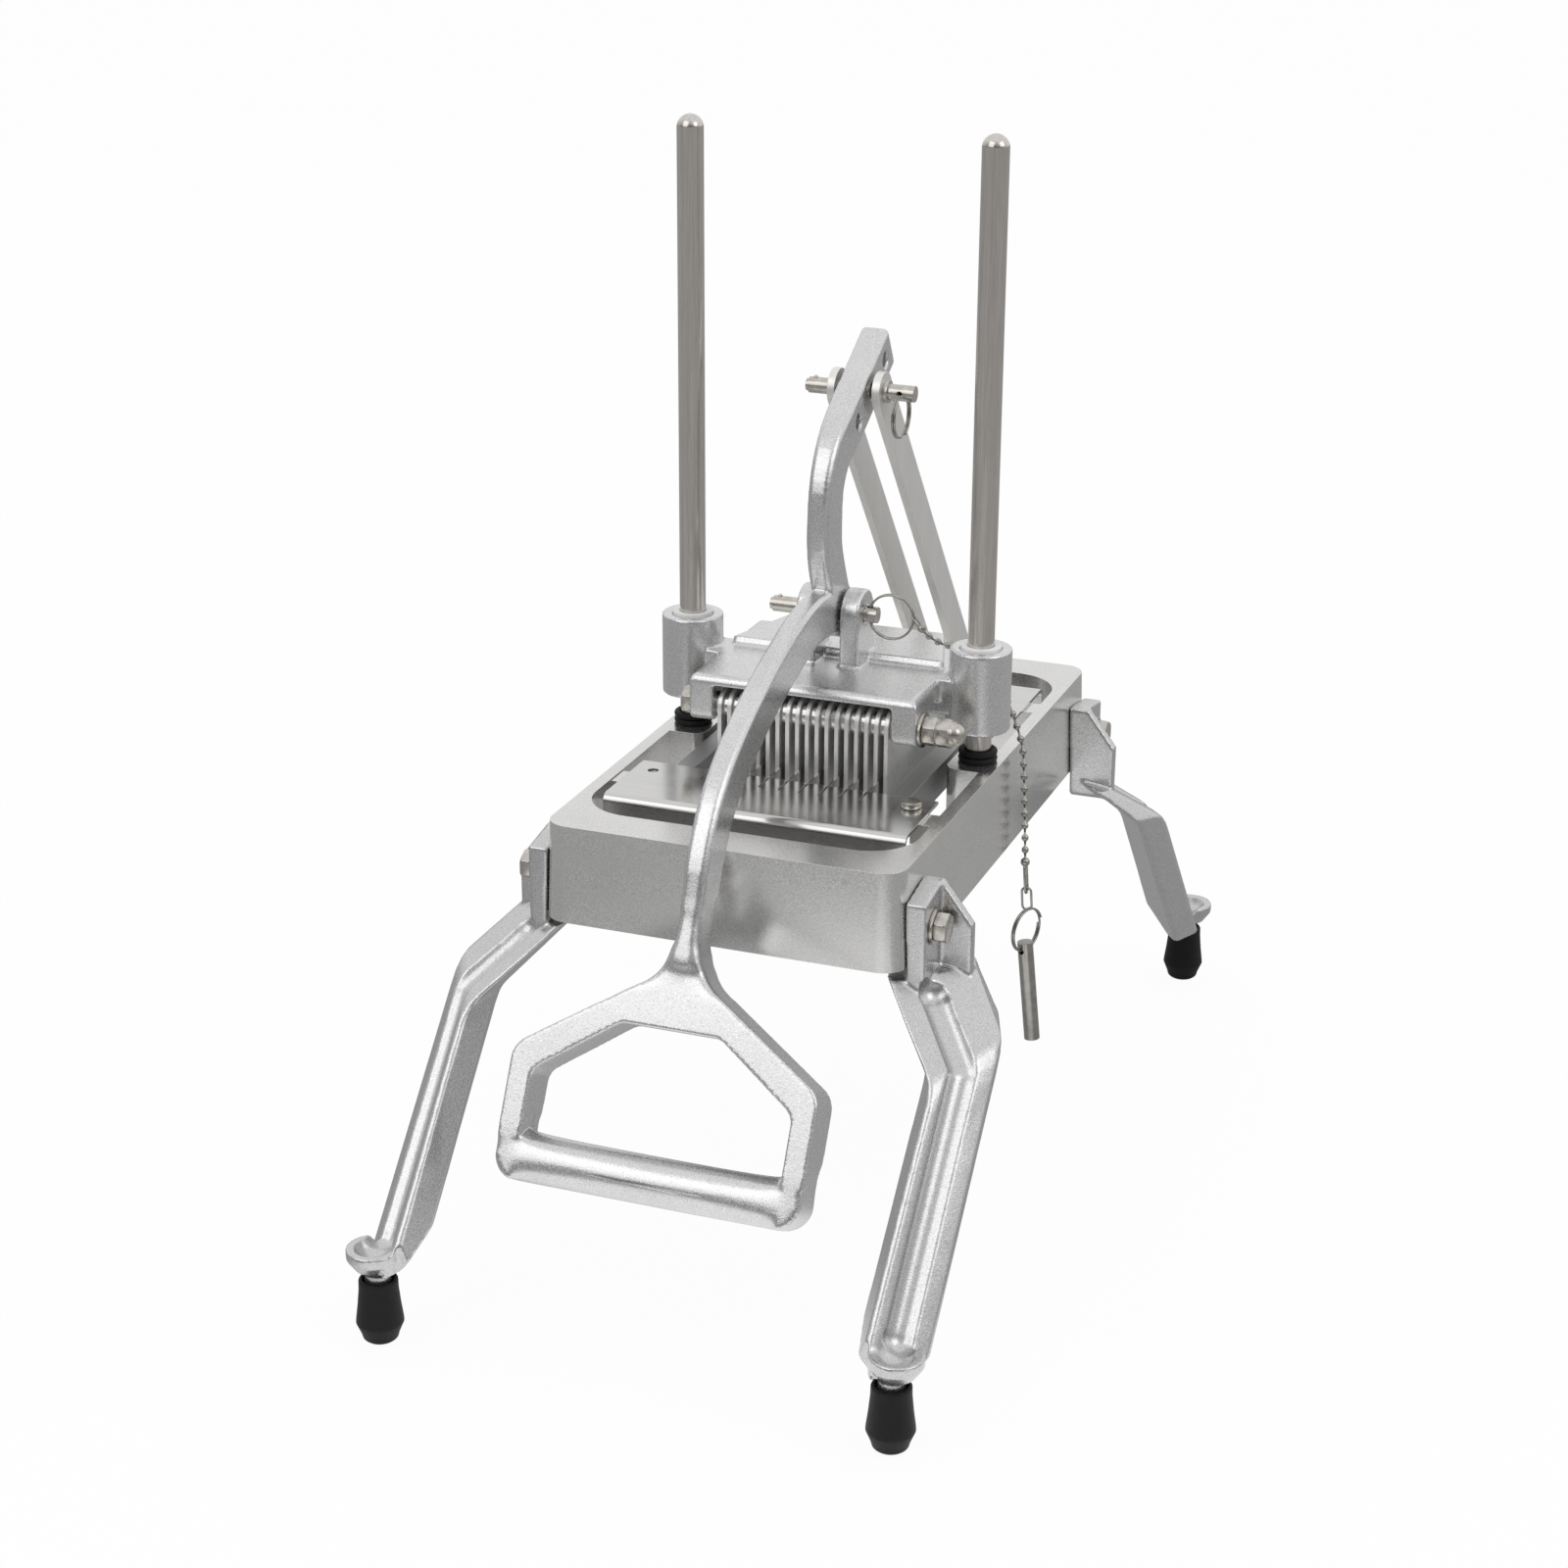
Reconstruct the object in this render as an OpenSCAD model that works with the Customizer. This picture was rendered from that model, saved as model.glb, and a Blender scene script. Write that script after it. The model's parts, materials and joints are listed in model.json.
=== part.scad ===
// Vertical vegetable slicer: a cast frame on four legs, a lever-driven pusher head on two
// guide rods, and a drop-in blade cartridge. Millimetres, +X right, +Y to the back, +Z up.
// The origin lies on the table, under the middle between the two guide rods.

/* [Frame] */
// Width of the cast frame at its top rim
frame_w = 172; // [166:1:184]
// Length of the cast frame at its top rim
frame_len = 303; // [298:1:316]
// Height of the frame walls
frame_h = 47; // [42:1:56]
// Height of the top rim above the table
frame_top = 216.5; // [208:0.5:228]
// Growth of each wall from the top rim to the bottom edge
frame_draft = 1.7; // [0.5:0.1:3]
// Radius of the outer corners at the top rim
frame_corner_r = 11; // [6:1:16]
// Width of the rim along the two sides
rim_side = 6.5; // [5:0.5:8]
// Width of the rim at the front and the back
rim_end = 22; // [17:1:26]
// Radius of the opening corners
opening_r = 24; // [15:1:30]
// Length of a rod pedestal along the frame
pedestal_len = 34; // [28:1:40]
// How far a pedestal reaches in from the opening edge
pedestal_in = 17.5; // [15:0.5:19]

/* [Guide rods] */
// Diameter of the guide rods
rod_d = 12.7; // [11:0.1:14]
// Distance of each guide rod axis in from the side of the frame
rod_inset = 12.2; // [11:0.1:13.5]
// Length of each rod above the frame rim, up to the start of its dome
rod_rise = 292.4; // [285:0.2:300]
// Height of the rod dome
rod_dome_h = 5.8; // [3:0.2:6.2]
// Depth of solid metal left under a rod in its pedestal
rod_floor = 6; // [4:0.5:12]
// Thickness of each rubber bumper ring
bumper_wire = 3; // [2:0.5:4]

/* [Pusher head] */
// Outer diameter of the rod bosses
boss_d = 30; // [27:0.5:32]
// Height of the rod bosses
boss_h = 40.5; // [36:0.5:44]
// Gap between the boss bottoms and the frame rim
boss_lift = 16.5; // [16:0.5:20]
// Outer diameter of the nylon bushings
bushing_d = 19.4; // [17:0.2:22]
// How far a bushing stands above its boss
bushing_proud = 1.2; // [0.5:0.1:3]
// Distance from each guide rod axis to the side of the hood
hood_gap = 16.8; // [16.3:0.1:17.8]
// Length of the hood from its front to its back edge
hood_len = 92; // [90:1:98]
// Height of the hood top above the frame rim
hood_rise = 42; // [41:0.5:44]
// Thickness of the hood top
hood_t = 5; // [4:0.5:6]
// Thickness of the four bolt ears
ear_t = 12; // [10:0.5:12.5]
// Length of each bolt ear along the machine
ear_len = 19; // [17:0.5:22]
// Rounding of the hood edges
hood_round = 4; // [2:0.5:4.5]
// Step from the hood up to the deck
deck_step = 4; // [2:0.5:6]
// How far the front edge of the deck stays in from each side of the hood
deck_in = 3; // [2:0.5:7]
// Narrowing of the deck at its back edge, each side
deck_taper = 13; // [6:1:18]
// Front edge of the deck behind the rod plane
deck_front = 4; // [0:0.5:8]
// Thickness of each clevis ear
clevis_t = 9.5; // [7:0.5:10]
// Radius of the clevis ears around the lever pin
clevis_r = 12; // [11:0.5:13]

/* [Pusher plates] */
// Number of pusher plates
plate_count = 18; // [16:2:18]
// Distance from a hood ear to the middle of the plate beside it
plate_margin = 2.925; // [2.5:0.025:4.2]
// Thickness of a pusher plate
plate_t = 2; // [1.4:0.1:2.4]
// Height of a plate below the cross bolts
plate_drop = 38; // [34:1:40]
// Radius of the plate corners around the cross bolts
plate_r = 8; // [7.5:0.1:9]
// Diameter of the cross bolts
bolt_d = 7.9; // [6:0.1:8.4]
// Distance between the front and back cross bolts
bolt_gap = 73; // [70:1:74]
// Height of the cross bolts above the frame rim
bolt_rise = 25.2; // [24.8:0.2:26]
// Diameter of the spacers on the cross bolts
spacer_d = 12; // [10.5:0.5:13]
// Width of the nuts across their flats
nut_flats = 12.7; // [11.5:0.1:13.5]

/* [Lever] */
// Height of the lever pin above the frame rim
lever_pin_rise = 66.5; // [66:0.5:70]
// Thickness of the lever arm
lever_t = 11; // [9.5:0.5:11.5]
// Depth of the lever arm
lever_depth = 23; // [21:0.5:23.5]
// Thickness of the top eye
eye_t = 14; // [13:0.5:15]
// Chamfer along the edges of the lever arm
lever_edge = 2; // [1:0.25:3]
// Spacing of the three holes in the top eye
eye_pitch = 21.6; // [20:0.2:23]
// Height of the top pin above the lever pin
top_pin_rise = 101.5; // [100:0.5:103]
// Distance of the top pin behind the lever pin
top_pin_back = 31; // [29:0.5:33]
// Diameter of the grip bar
grip_bar_d = 22; // [19:0.5:23]
// Outer width of the grip loop
grip_w = 145; // [138:1:150]
// Width of the grip rails
grip_rail = 11; // [9:0.5:12.5]

/* [Links and pins] */
// Width of the link bars
link_w = 19; // [17:0.5:20]
// Thickness of the link bars
link_t = 4; // [3:0.2:5]
// Clear space between the two link bars
link_gap = 18.6; // [18.2:0.2:20]
// Distance of the rear pivot behind the frame
pivot_back = 24.5; // [24:0.5:28]
// Depth of the rear pivot below the frame rim
pivot_drop = 13.5; // [12:0.5:16]
// Diameter of the rear pivot pin
pivot_d = 8; // [6:0.5:10]
// Diameter of the release pins
pin_d = 7.8; // [7:0.1:8.4]
// Length of a release pin
pin_len = 53; // [51:0.5:56]
// Mean radius of the split rings
ring_r = 11; // [10:0.5:12]
// Wire diameter of the split rings
ring_wire = 1.8; // [1.4:0.1:2]
// Diameter of the bead chain
chain_d = 3.2; // [2.4:0.1:3.6]

/* [Legs] */
// Thickness of the cast legs
leg_t = 17; // [13:0.5:19]
// Depth of the channel along a leg
leg_channel = 5; // [3:0.5:6]
// Width of the channel along a leg
leg_channel_w = 14.5; // [11:0.5:16]
// Foot axis outward from the frame side
foot_out = 36; // [33:0.5:40]
// Foot axis beyond the frame end
foot_beyond = 107; // [100:1:114]
// Diameter of the round nose at the end of a leg
nose_d = 24.5; // [22.5:0.5:26]
// Diameter of the stud inside a rubber foot
stud_d = 12; // [10:0.5:12.5]
// Diameter of the rubber feet at their widest
foot_d = 21.8; // [20:0.2:24]
// Height of the rubber feet
foot_h = 31; // [28:0.5:34]
// Distance of the leg bolts from the frame ends
leg_bolt_in = 17.5; // [17:0.5:20]
// Diameter of the leg bolts
leg_bolt_d = 8; // [6.5:0.5:9]
// Thickness of the mounting flange of a leg
flange_t = 8.5; // [7:0.5:10]

/* [Blade cartridge] */
// Clearance between a cartridge plate and the side of the frame opening
cart_side = 5.2; // [3.5:0.1:6.5]
// Distance from the rod plane to the outer face of a cartridge plate
cart_reach = 110; // [106:1:114]
// Distance from the rod plane to the inner edge of a cartridge plate
cart_inner = 62; // [58:0.5:64]
// Sheet thickness of the cartridge plates
cart_t = 1.5; // [1.2:0.1:2]
// Height of the cartridge plates above the frame rim
cart_proud = 1; // [0.5:0.1:1.5]
// Outer radius of the bend in a cartridge plate
cart_bend = 9; // [6:0.5:12]
// Depth of the apron of a cartridge plate
apron_h = 30; // [24:1:36]
// Width of the side rails
rail_w = 10; // [8:0.5:10.5]
// Height of the side rails
rail_h = 16; // [12:0.5:20]
// Clearance between a side rail and the rod pedestal beside it
rail_side = 3; // [2:0.1:3.5]
// Number of blades
blade_count = 9; // [7:2:9]
// Thickness of a blade
blade_t = 0.7; // [0.5:0.1:1]
// Height of a blade
blade_h = 18; // [14:0.5:22]
// How far a blade runs into its slit
slit_len = 13; // [9:0.5:16]
// Diameter of the locating buttons
button_d = 10; // [8:0.5:12]
// Height of the locating buttons
button_h = 3; // [2:0.5:4]

/* [Hidden] */
$fn = 64;

// working clearances
run_fit = 0.05;
seat = 0.1;
hinge_gap = 0.3;
over = 1;

// stations of the frame and the rods
half_w = frame_w / 2;
half_len = frame_len / 2;
frame_bottom = frame_top - frame_h;
open_x = half_w - rim_side;
open_y = half_len - rim_end;
rod_x = half_w - rod_inset;
rod_r = rod_d / 2;
function wall_x(z) = half_w + (frame_top - z) * frame_draft / frame_h;

// stations of the pusher head at rest
boss_z = frame_top + boss_lift;
hood_top = frame_top + hood_rise;
hood_under = hood_top - hood_t;
deck_top = hood_top + deck_step;
hood_x = rod_x - hood_gap;
hood_y = hood_len / 2;
deck_x = hood_x - deck_in;
ear_in = hood_x - ear_t;
plate_pitch = 2 * (ear_in - plate_margin) / (plate_count - 1);
bolt_y = bolt_gap / 2;
bolt_z = frame_top + bolt_rise;
lever_z = frame_top + lever_pin_rise;
pin_r = pin_d / 2;

// stations of the linkage
top_y = top_pin_back;
top_z = lever_z + top_pin_rise;
pivot_y = half_len + pivot_back;
pivot_z = frame_top - pivot_drop;
link_in = link_gap / 2;
link_out = link_in + link_t;
clevis_play = 1;
clevis_in = lever_t / 2 + clevis_play;
clevis_out = clevis_in + clevis_t;

// stations of the cartridge
cart_top = frame_top + cart_proud;
cart_under = cart_top - cart_t;
cart_x = open_x - cart_side;
rail_in = open_x - pedestal_in - rail_side - rail_w;
button_side = 5.5;
button_set = 11;
button_stem = 5;
button_x = rail_in + rail_w + button_side;
button_y = cart_inner + button_set;

// stations of a leg, measured outward from its bolt
leg_y = half_len - leg_bolt_in;
leg_bolt_up = 18;
leg_bolt_z = frame_bottom + leg_bolt_up;
foot_x = half_w + foot_out;
foot_run = foot_beyond + leg_bolt_in;

// colours of the finishes
cast_grey = [0.66, 0.66, 0.66];
cast_bright = [0.78, 0.78, 0.79];
steel = [0.74, 0.72, 0.69];
nickel = [0.80, 0.77, 0.72];
nylon = [0.95, 0.95, 0.93];
rubber = [0.07, 0.07, 0.07];

function unit(v) = v / norm(v);

// a smooth run through hand-placed stations, with k steps between two of them
function station(p, i, t) = let (
    a = p[max(i - 1, 0)],
    b = p[i],
    c = p[i + 1],
    d = p[min(i + 2, len(p) - 1)]
) 0.5 * (2 * b + (c - a) * t + (2 * a - 5 * b + 4 * c - d) * t * t + (3 * b - a - 3 * c + d) * t * t * t);
function smooth_run(p, k) = concat(
    [for (i = [0:len(p) - 2], j = [0:k - 1]) station(p, i, j / k)],
    [p[len(p) - 1]]);

// skin over a row of like rings of points, closed at both ends by convex caps
function plain_cap(m) = [[for (k = [0:m - 1]) k]];
module skin(rings, caps) {
    m = len(rings[0]);
    n = len(rings);
    sides = [for (i = [0:n - 2], k = [0:m - 1]) let (
        a = i * m + k,
        b = i * m + (k + 1) % m
    ) each [[a, b, b + m], [a, b + m, a + m]]];
    first = [for (c = caps) [for (k = [len(c) - 1:-1:0]) c[k]]];
    last = [for (c = caps) [for (k = c) (n - 1) * m + k]];
    polyhedron(points = [for (r = rings) each r], faces = concat(sides, first, last));
}

// rectangle with round corners, as straight strips and circles
module round_rect(x0, x1, y0, y1, r) {
    translate([x0 + r, y0]) square([x1 - x0 - 2 * r, y1 - y0]);
    translate([x0, y0 + r]) square([x1 - x0, y1 - y0 - 2 * r]);
    for (x = [x0 + r, x1 - r], y = [y0 + r, y1 - r]) {
        translate([x, y]) circle(r);
    }
}

// extrusions along the machine axes of outlines drawn in the other two
module along_x(x0, x1) {
    translate([x0, 0, 0]) rotate([90, 0, 90]) linear_extrude(x1 - x0) children();
}
module along_y(y0, y1) {
    translate([0, y1, 0]) rotate([90, 0, 0]) linear_extrude(y1 - y0) children();
}
module rod_along_x(x0, x1, y, z, d) {
    translate([x0, y, z]) rotate([0, 90, 0]) cylinder(h = x1 - x0, d = d);
}
module both_sides() {
    children();
    mirror([1, 0, 0]) children();
}
module both_ends() {
    children();
    mirror([0, 1, 0]) children();
}
module four_ways() {
    both_ends() both_sides() children();
}

// round bar between two points
module peg(a, b, d) {
    run = b - a;
    translate(a) rotate([0, acos(run[2] / norm(run)), atan2(run[1], run[0])])
        cylinder(h = norm(run), d = d);
}

// frame block with drafted walls: two straight runs and four corner cones
module drafted_block() {
    run_x = half_w - frame_corner_r;
    run_y = half_len - frame_corner_r;
    along_y(-run_y, run_y) polygon([[-half_w - frame_draft, frame_bottom],
        [half_w + frame_draft, frame_bottom], [half_w, frame_top], [-half_w, frame_top]]);
    along_x(-run_x, run_x) polygon([[-half_len - frame_draft, frame_bottom],
        [half_len + frame_draft, frame_bottom], [half_len, frame_top], [-half_len, frame_top]]);
    for (x = [-run_x, run_x], y = [-run_y, run_y]) {
        translate([x, y, frame_bottom])
            cylinder(h = frame_h, r1 = frame_corner_r + frame_draft, r2 = frame_corner_r);
    }
}

// pedestal plan for the right rod, with rounded inner corners
pedestal_r = 7;
module pedestal_plan() {
    x0 = open_x - pedestal_in;
    x1 = open_x + rim_side / 2;
    y1 = pedestal_len / 2;
    round_rect(x0, x1, -y1, y1, pedestal_r);
    translate([x0 + pedestal_r, -y1]) square([x1 - x0 - pedestal_r, pedestal_len]);
}

// ledge under one end of a cartridge plate
ledge_len = 14;
ledge_h = 10;
ledge_under = 5;
module cartridge_ledge() {
    x0 = cart_x - ledge_under;
    y0 = cart_inner + slit_len;
    translate([x0, y0, cart_under - seat - ledge_h])
        cube([open_x - x0 + rim_side / 2, ledge_len, ledge_h]);
}

// hinge lug behind the back wall, between the two links
lug_r = 10;
lug_x = link_in - hinge_gap;
module rear_lug() {
    wall = half_len - rim_end / 2;
    rod_along_x(-lug_x, lug_x, pivot_y, pivot_z, 2 * lug_r);
    along_x(-lug_x, lug_x) polygon([[wall, pivot_z + lug_r], [pivot_y, pivot_z + lug_r],
        [pivot_y, pivot_z - lug_r], [wall, frame_bottom]]);
}

module base_frame() {
    color(cast_grey) difference() {
        union() {
            difference() {
                drafted_block();
                translate([0, 0, frame_bottom - over]) linear_extrude(frame_h + 2 * over)
                    round_rect(-open_x, open_x, -open_y, open_y, opening_r);
            }
            both_sides() translate([0, 0, frame_bottom]) linear_extrude(frame_h) pedestal_plan();
            four_ways() cartridge_ledge();
            rear_lug();
        }
        both_sides() translate([rod_x, 0, frame_bottom + rod_floor])
            cylinder(h = frame_h, r = rod_r + run_fit);
        rod_along_x(-lug_x - over, lug_x + over, pivot_y, pivot_z, pivot_d + 2 * run_fit);
        four_ways() rod_along_x(open_x - over, wall_x(frame_bottom) + over, leg_y, leg_bolt_z,
            leg_bolt_d + 2 * run_fit);
    }
}

// leg rows: the inner and outer edge of the upper face, from the pad over the bend to the foot
top_in = [-5.5, 16.5, -4.5];
top_out = [25, -16, -6];
bend_in = [26.5, 51, -37];
bend_out = [48, 12, -29];
end_in = [1.5, -4, 56.5];
end_out = [-0.2, -17, 37];
wall_foot = [half_w, 0, frame_bottom];
foot_spot = [foot_x, foot_run, 0];
nose_half = [nose_d / 2, 0, 0];
leg_start = [wall_foot + top_in, wall_foot + top_out];
leg_bend = [wall_foot + bend_in, wall_foot + bend_out];
leg_end = [foot_spot - nose_half + end_in, foot_spot + nose_half + end_out];
bend_share = 0.1;
bend_steps = 3;
function blend(a, b, t) = a * (1 - t) + b * t;
function bend_row(t) = let (
    a = blend(leg_bend, leg_start, bend_share),
    b = blend(leg_bend, leg_end, bend_share)
) blend(blend(a, leg_bend, t), blend(leg_bend, b, t), t);
tip_share = 0.32;
leg_tip = leg_end + tip_share * (leg_end - leg_bend);
leg_rows = concat([leg_start], [for (i = [0:bend_steps]) bend_row(i / bend_steps)], [leg_end, leg_tip]);

// cross-section of a leg: a bar with broken edges, whose sides lean back from its face
leg_edge = 2;
leg_lean = [0.52, 1.38, -0.23];
start_depth = 0.55;
leg_section = [[0, leg_edge - leg_t], [0.08, -leg_t], [0.92, -leg_t], [1, leg_edge - leg_t],
    [1, -leg_edge], [0.94, 0], [0.06, 0], [0, -leg_edge]];
function row_up(i) = let (
    row = leg_rows[i],
    ahead = leg_rows[min(i + 1, len(leg_rows) - 1)],
    behind = leg_rows[max(i - 1, 0)]
) unit(cross(row[1] - row[0], ahead[0] + ahead[1] - behind[0] - behind[1]));
function leg_ring(i) = let (
    row = leg_rows[i],
    depth = i == 0 ? start_depth : 1
) [for (q = leg_section) row[0] + (row[1] - row[0]) * q[0] + leg_lean * depth * q[1]];

// channel along a leg: a round groove from the pad over the bend into the nose
groove_share = 0.45;
groove_r = leg_channel / 2 + leg_channel_w * leg_channel_w / (8 * leg_channel);
groove_from = 0.22;
groove_ball = 1.04;
bowl_r = 9;
bowl_up = 3;
function groove_at(row, up) = blend(row[0], row[1], groove_share) + up * (groove_r - leg_channel);
module leg_groove() {
    a = groove_at(blend(leg_start, leg_bend, groove_from), row_up(0));
    b = groove_at(leg_bend, row_up(2));
    c = groove_at(leg_end, row_up(len(leg_rows) - 1));
    bowl = [nose_x, foot_run, nose_top + bowl_up];
    peg(a, b, 2 * groove_r);
    peg(b, c, 2 * groove_r);
    peg(c, bowl, 2 * groove_r);
    for (at = [a, b, c]) {
        translate(at) sphere(groove_ball * groove_r);
    }
    translate(bowl) sphere(bowl_r);
}

// mounting pad: a flange on the frame wall and an outward rib, under a peaked top
pad_face = half_w + flange_t + frame_draft;
pad_end = 12;
pad_below = 12;
pad_back = 16;
pad_rise = 14;
pad_peak = 17.5;
rib_t = 6;
rib_reach = 25;
rib_low = 2;
module leg_pad() {
    z0 = frame_bottom - pad_below;
    z1 = leg_bolt_z + pad_rise;
    z2 = leg_bolt_z + pad_peak;
    intersection() {
        along_y(-pad_back, pad_end) polygon([[wall_x(z0) + seat, z0], [wall_x(z2) + seat, z2],
            [pad_face, z2], [pad_face, z0]]);
        along_x(half_w - over, pad_face + over) polygon([[-pad_back, z0], [pad_end, z0], [pad_end, z1],
            [-pad_back + rib_t, z2], [-pad_back, z2]]);
    }
    along_y(-pad_back, rib_t - pad_back) polygon([[wall_x(z0) + seat, z0], [wall_x(z2) + seat, z2],
        [pad_face, z2], [half_w + rib_reach, leg_bolt_z - rib_low], [half_w + rib_reach, z0]]);
}

// round nose above the foot, tapering down to the stud
stud_gap = 4.5;
nose_z = foot_h + stud_gap;
nose_taper = 6;
nose_tip_d = nose_d * 0.66;
nose_h = 4.5;
nose_top = nose_z + nose_taper + nose_h;
nose_off = 2;
nose_x = foot_x + nose_off;
module leg_nose() {
    translate([nose_x, foot_run, nose_z]) cylinder(h = nose_taper, d1 = nose_tip_d, d2 = nose_d);
    translate([nose_x, foot_run, nose_z + nose_taper]) cylinder(h = nose_h, d = nose_d);
}

// what lies under the slanting cut from a leg's inner side to its nose
cut_face = [-0.75, -0.2, -0.63];
module under_cut() {
    reach = 2 * nose_d;
    translate([leg_end[0][0], foot_run, nose_z + seat])
        rotate([0, acos(cut_face[2]), atan2(cut_face[1], cut_face[0])])
            translate([-reach, -reach, 0]) cube([2 * reach, 2 * reach, reach]);
}

// one leg, drawn for the right side with its foot towards the back
stud_len = 18;
module leg_bar() {
    difference() {
        skin([for (i = [0:len(leg_rows) - 1]) leg_ring(i)], plain_cap(len(leg_section)));
        translate([half_w, 0, 0]) cube([2 * foot_out, 2 * foot_run, nose_z + seat]);
        under_cut();
        difference() {
            translate([half_w, foot_run, 0]) cube([2 * foot_out, foot_run, frame_bottom]);
            translate([nose_x, foot_run, -over]) cylinder(h = frame_bottom, d = nose_d - seat);
        }
    }
}
module leg_shape() {
    difference() {
        union() {
            leg_bar();
            leg_pad();
            leg_nose();
            translate([foot_x, foot_run, foot_h - stud_len])
                cylinder(h = stud_len + stud_gap + nose_taper / 2, d = stud_d);
        }
        leg_groove();
        rod_along_x(half_w - over, foot_x, 0, leg_bolt_z, leg_bolt_d + 2 * run_fit);
        translate([-over, -foot_run, frame_bottom - seat])
            cube([half_w + frame_draft / 2 + over, 2 * foot_run, leg_bolt_z - frame_bottom - pad_rise]);
    }
}
module back_right() translate([0, leg_y, 0]) children();
module leg_rear_right() color(cast_bright) back_right() leg_shape();
module leg_rear_left() color(cast_bright) mirror([1, 0, 0]) back_right() leg_shape();
module leg_front_right() color(cast_bright) mirror([0, 1, 0]) back_right() leg_shape();
module leg_front_left() color(cast_bright) mirror([0, 1, 0]) mirror([1, 0, 0]) back_right() leg_shape();

// hexagonal prism along X
module hex_x(x0, x1, y, z, flats) {
    translate([x0, y, z]) rotate([0, 90, 0]) cylinder(h = x1 - x0, d = flats / cos(30), $fn = 6);
}

// leg bolts and washers
washer_t = 1.5;
washer_rim = 2;
washer_d = nut_flats + 2 * washer_rim;
head_t = 5.5;
module leg_bolts() {
    x0 = pad_face + washer_t + 2 * seat;
    color(nickel) four_ways() {
        rod_along_x(open_x, x0 + over, leg_y, leg_bolt_z, leg_bolt_d);
        hex_x(x0, x0 + head_t, leg_y, leg_bolt_z, nut_flats);
    }
}
module leg_washers() {
    color(nickel) four_ways() difference() {
        rod_along_x(pad_face + seat, pad_face + seat + washer_t, leg_y, leg_bolt_z, washer_d);
        rod_along_x(pad_face - over, pad_face + washer_t + over, leg_y, leg_bolt_z,
            leg_bolt_d + 2 * run_fit);
    }
}

// rubber foot, a waisted tip pushed over the leg's stud: shares of its diameter and height
foot_profile = [[0, 0], [0.3, 0], [0.37, 0.04], [0.4, 0.12], [0.5, 0.29], [0.495, 0.34], [0.45, 0.58],
    [0.415, 0.83], [0.41, 0.97], [0.39, 1], [0, 1]];
cup_share = 0.34;
cup_h = 3;
module rubber_foot() {
    color(rubber) translate([foot_x, leg_y + foot_run, 0]) difference() {
        rotate_extrude() polygon([for (q = foot_profile) [q[0] * foot_d, q[1] * foot_h]]);
        translate([0, 0, foot_h - stud_len - seat])
            cylinder(h = stud_len + over, d = stud_d + 2 * run_fit);
        translate([0, 0, foot_h - cup_h]) cylinder(h = cup_h + over, r = cup_share * foot_d);
    }
}
module foot_rear_right() rubber_foot();
module foot_rear_left() mirror([1, 0, 0]) rubber_foot();
module foot_front_right() mirror([0, 1, 0]) rubber_foot();
module foot_front_left() mirror([0, 1, 0]) mirror([1, 0, 0]) rubber_foot();

// guide rod with a domed top
module guide_rod() {
    length = rod_rise + frame_h - rod_floor;
    dome_r = (rod_r * rod_r + rod_dome_h * rod_dome_h) / (2 * rod_dome_h);
    color(steel) translate([rod_x, 0, frame_bottom + rod_floor]) {
        cylinder(h = length, r = rod_r);
        intersection() {
            translate([0, 0, length + rod_dome_h - dome_r]) sphere(r = dome_r);
            translate([0, 0, length - over]) cylinder(h = rod_dome_h + 2 * over, r = rod_r);
        }
    }
}
module guide_rod_right() guide_rod();
module guide_rod_left() mirror([1, 0, 0]) guide_rod();

// two stacked rubber rings on each rod
module rod_bumpers() {
    mean = rod_r + seat + bumper_wire / 2;
    color(rubber) both_sides() for (i = [0, 1]) {
        translate([rod_x, 0, frame_top + run_fit + bumper_wire / 2 + i * (bumper_wire + run_fit)])
            rotate_extrude() translate([mean, 0]) circle(d = bumper_wire);
    }
}

// hood outline seen from the side and from the front, rounded at its upper edges
ear_drop = 6.5;
module hood_side() {
    round_rect(-hood_y, hood_y, bolt_z - ear_drop, hood_top, hood_round);
}
module hood_front() {
    round_rect(-hood_x, hood_x, bolt_z - ear_drop - hood_round, hood_top, hood_round);
}

// deck plan, narrowing towards the back
module deck_plan() {
    polygon([[-deck_x, deck_front], [deck_x, deck_front],
        [deck_x - deck_taper, hood_y], [deck_taper - deck_x, hood_y]]);
}

// concave fillet along the front of the deck
module deck_cove() {
    along_x(-deck_x, deck_x) difference() {
        translate([deck_front - deck_step, hood_top - over]) square([deck_step + over, deck_step + over]);
        translate([deck_front - deck_step, hood_top + deck_step]) circle(deck_step);
    }
}

// clevis ear for the lever pin, right side
module clevis_ear() {
    along_x(clevis_in, clevis_out) {
        translate([0, lever_z]) circle(clevis_r);
        translate([-clevis_r, hood_under]) square([2 * clevis_r, lever_z - hood_under]);
    }
}

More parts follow.
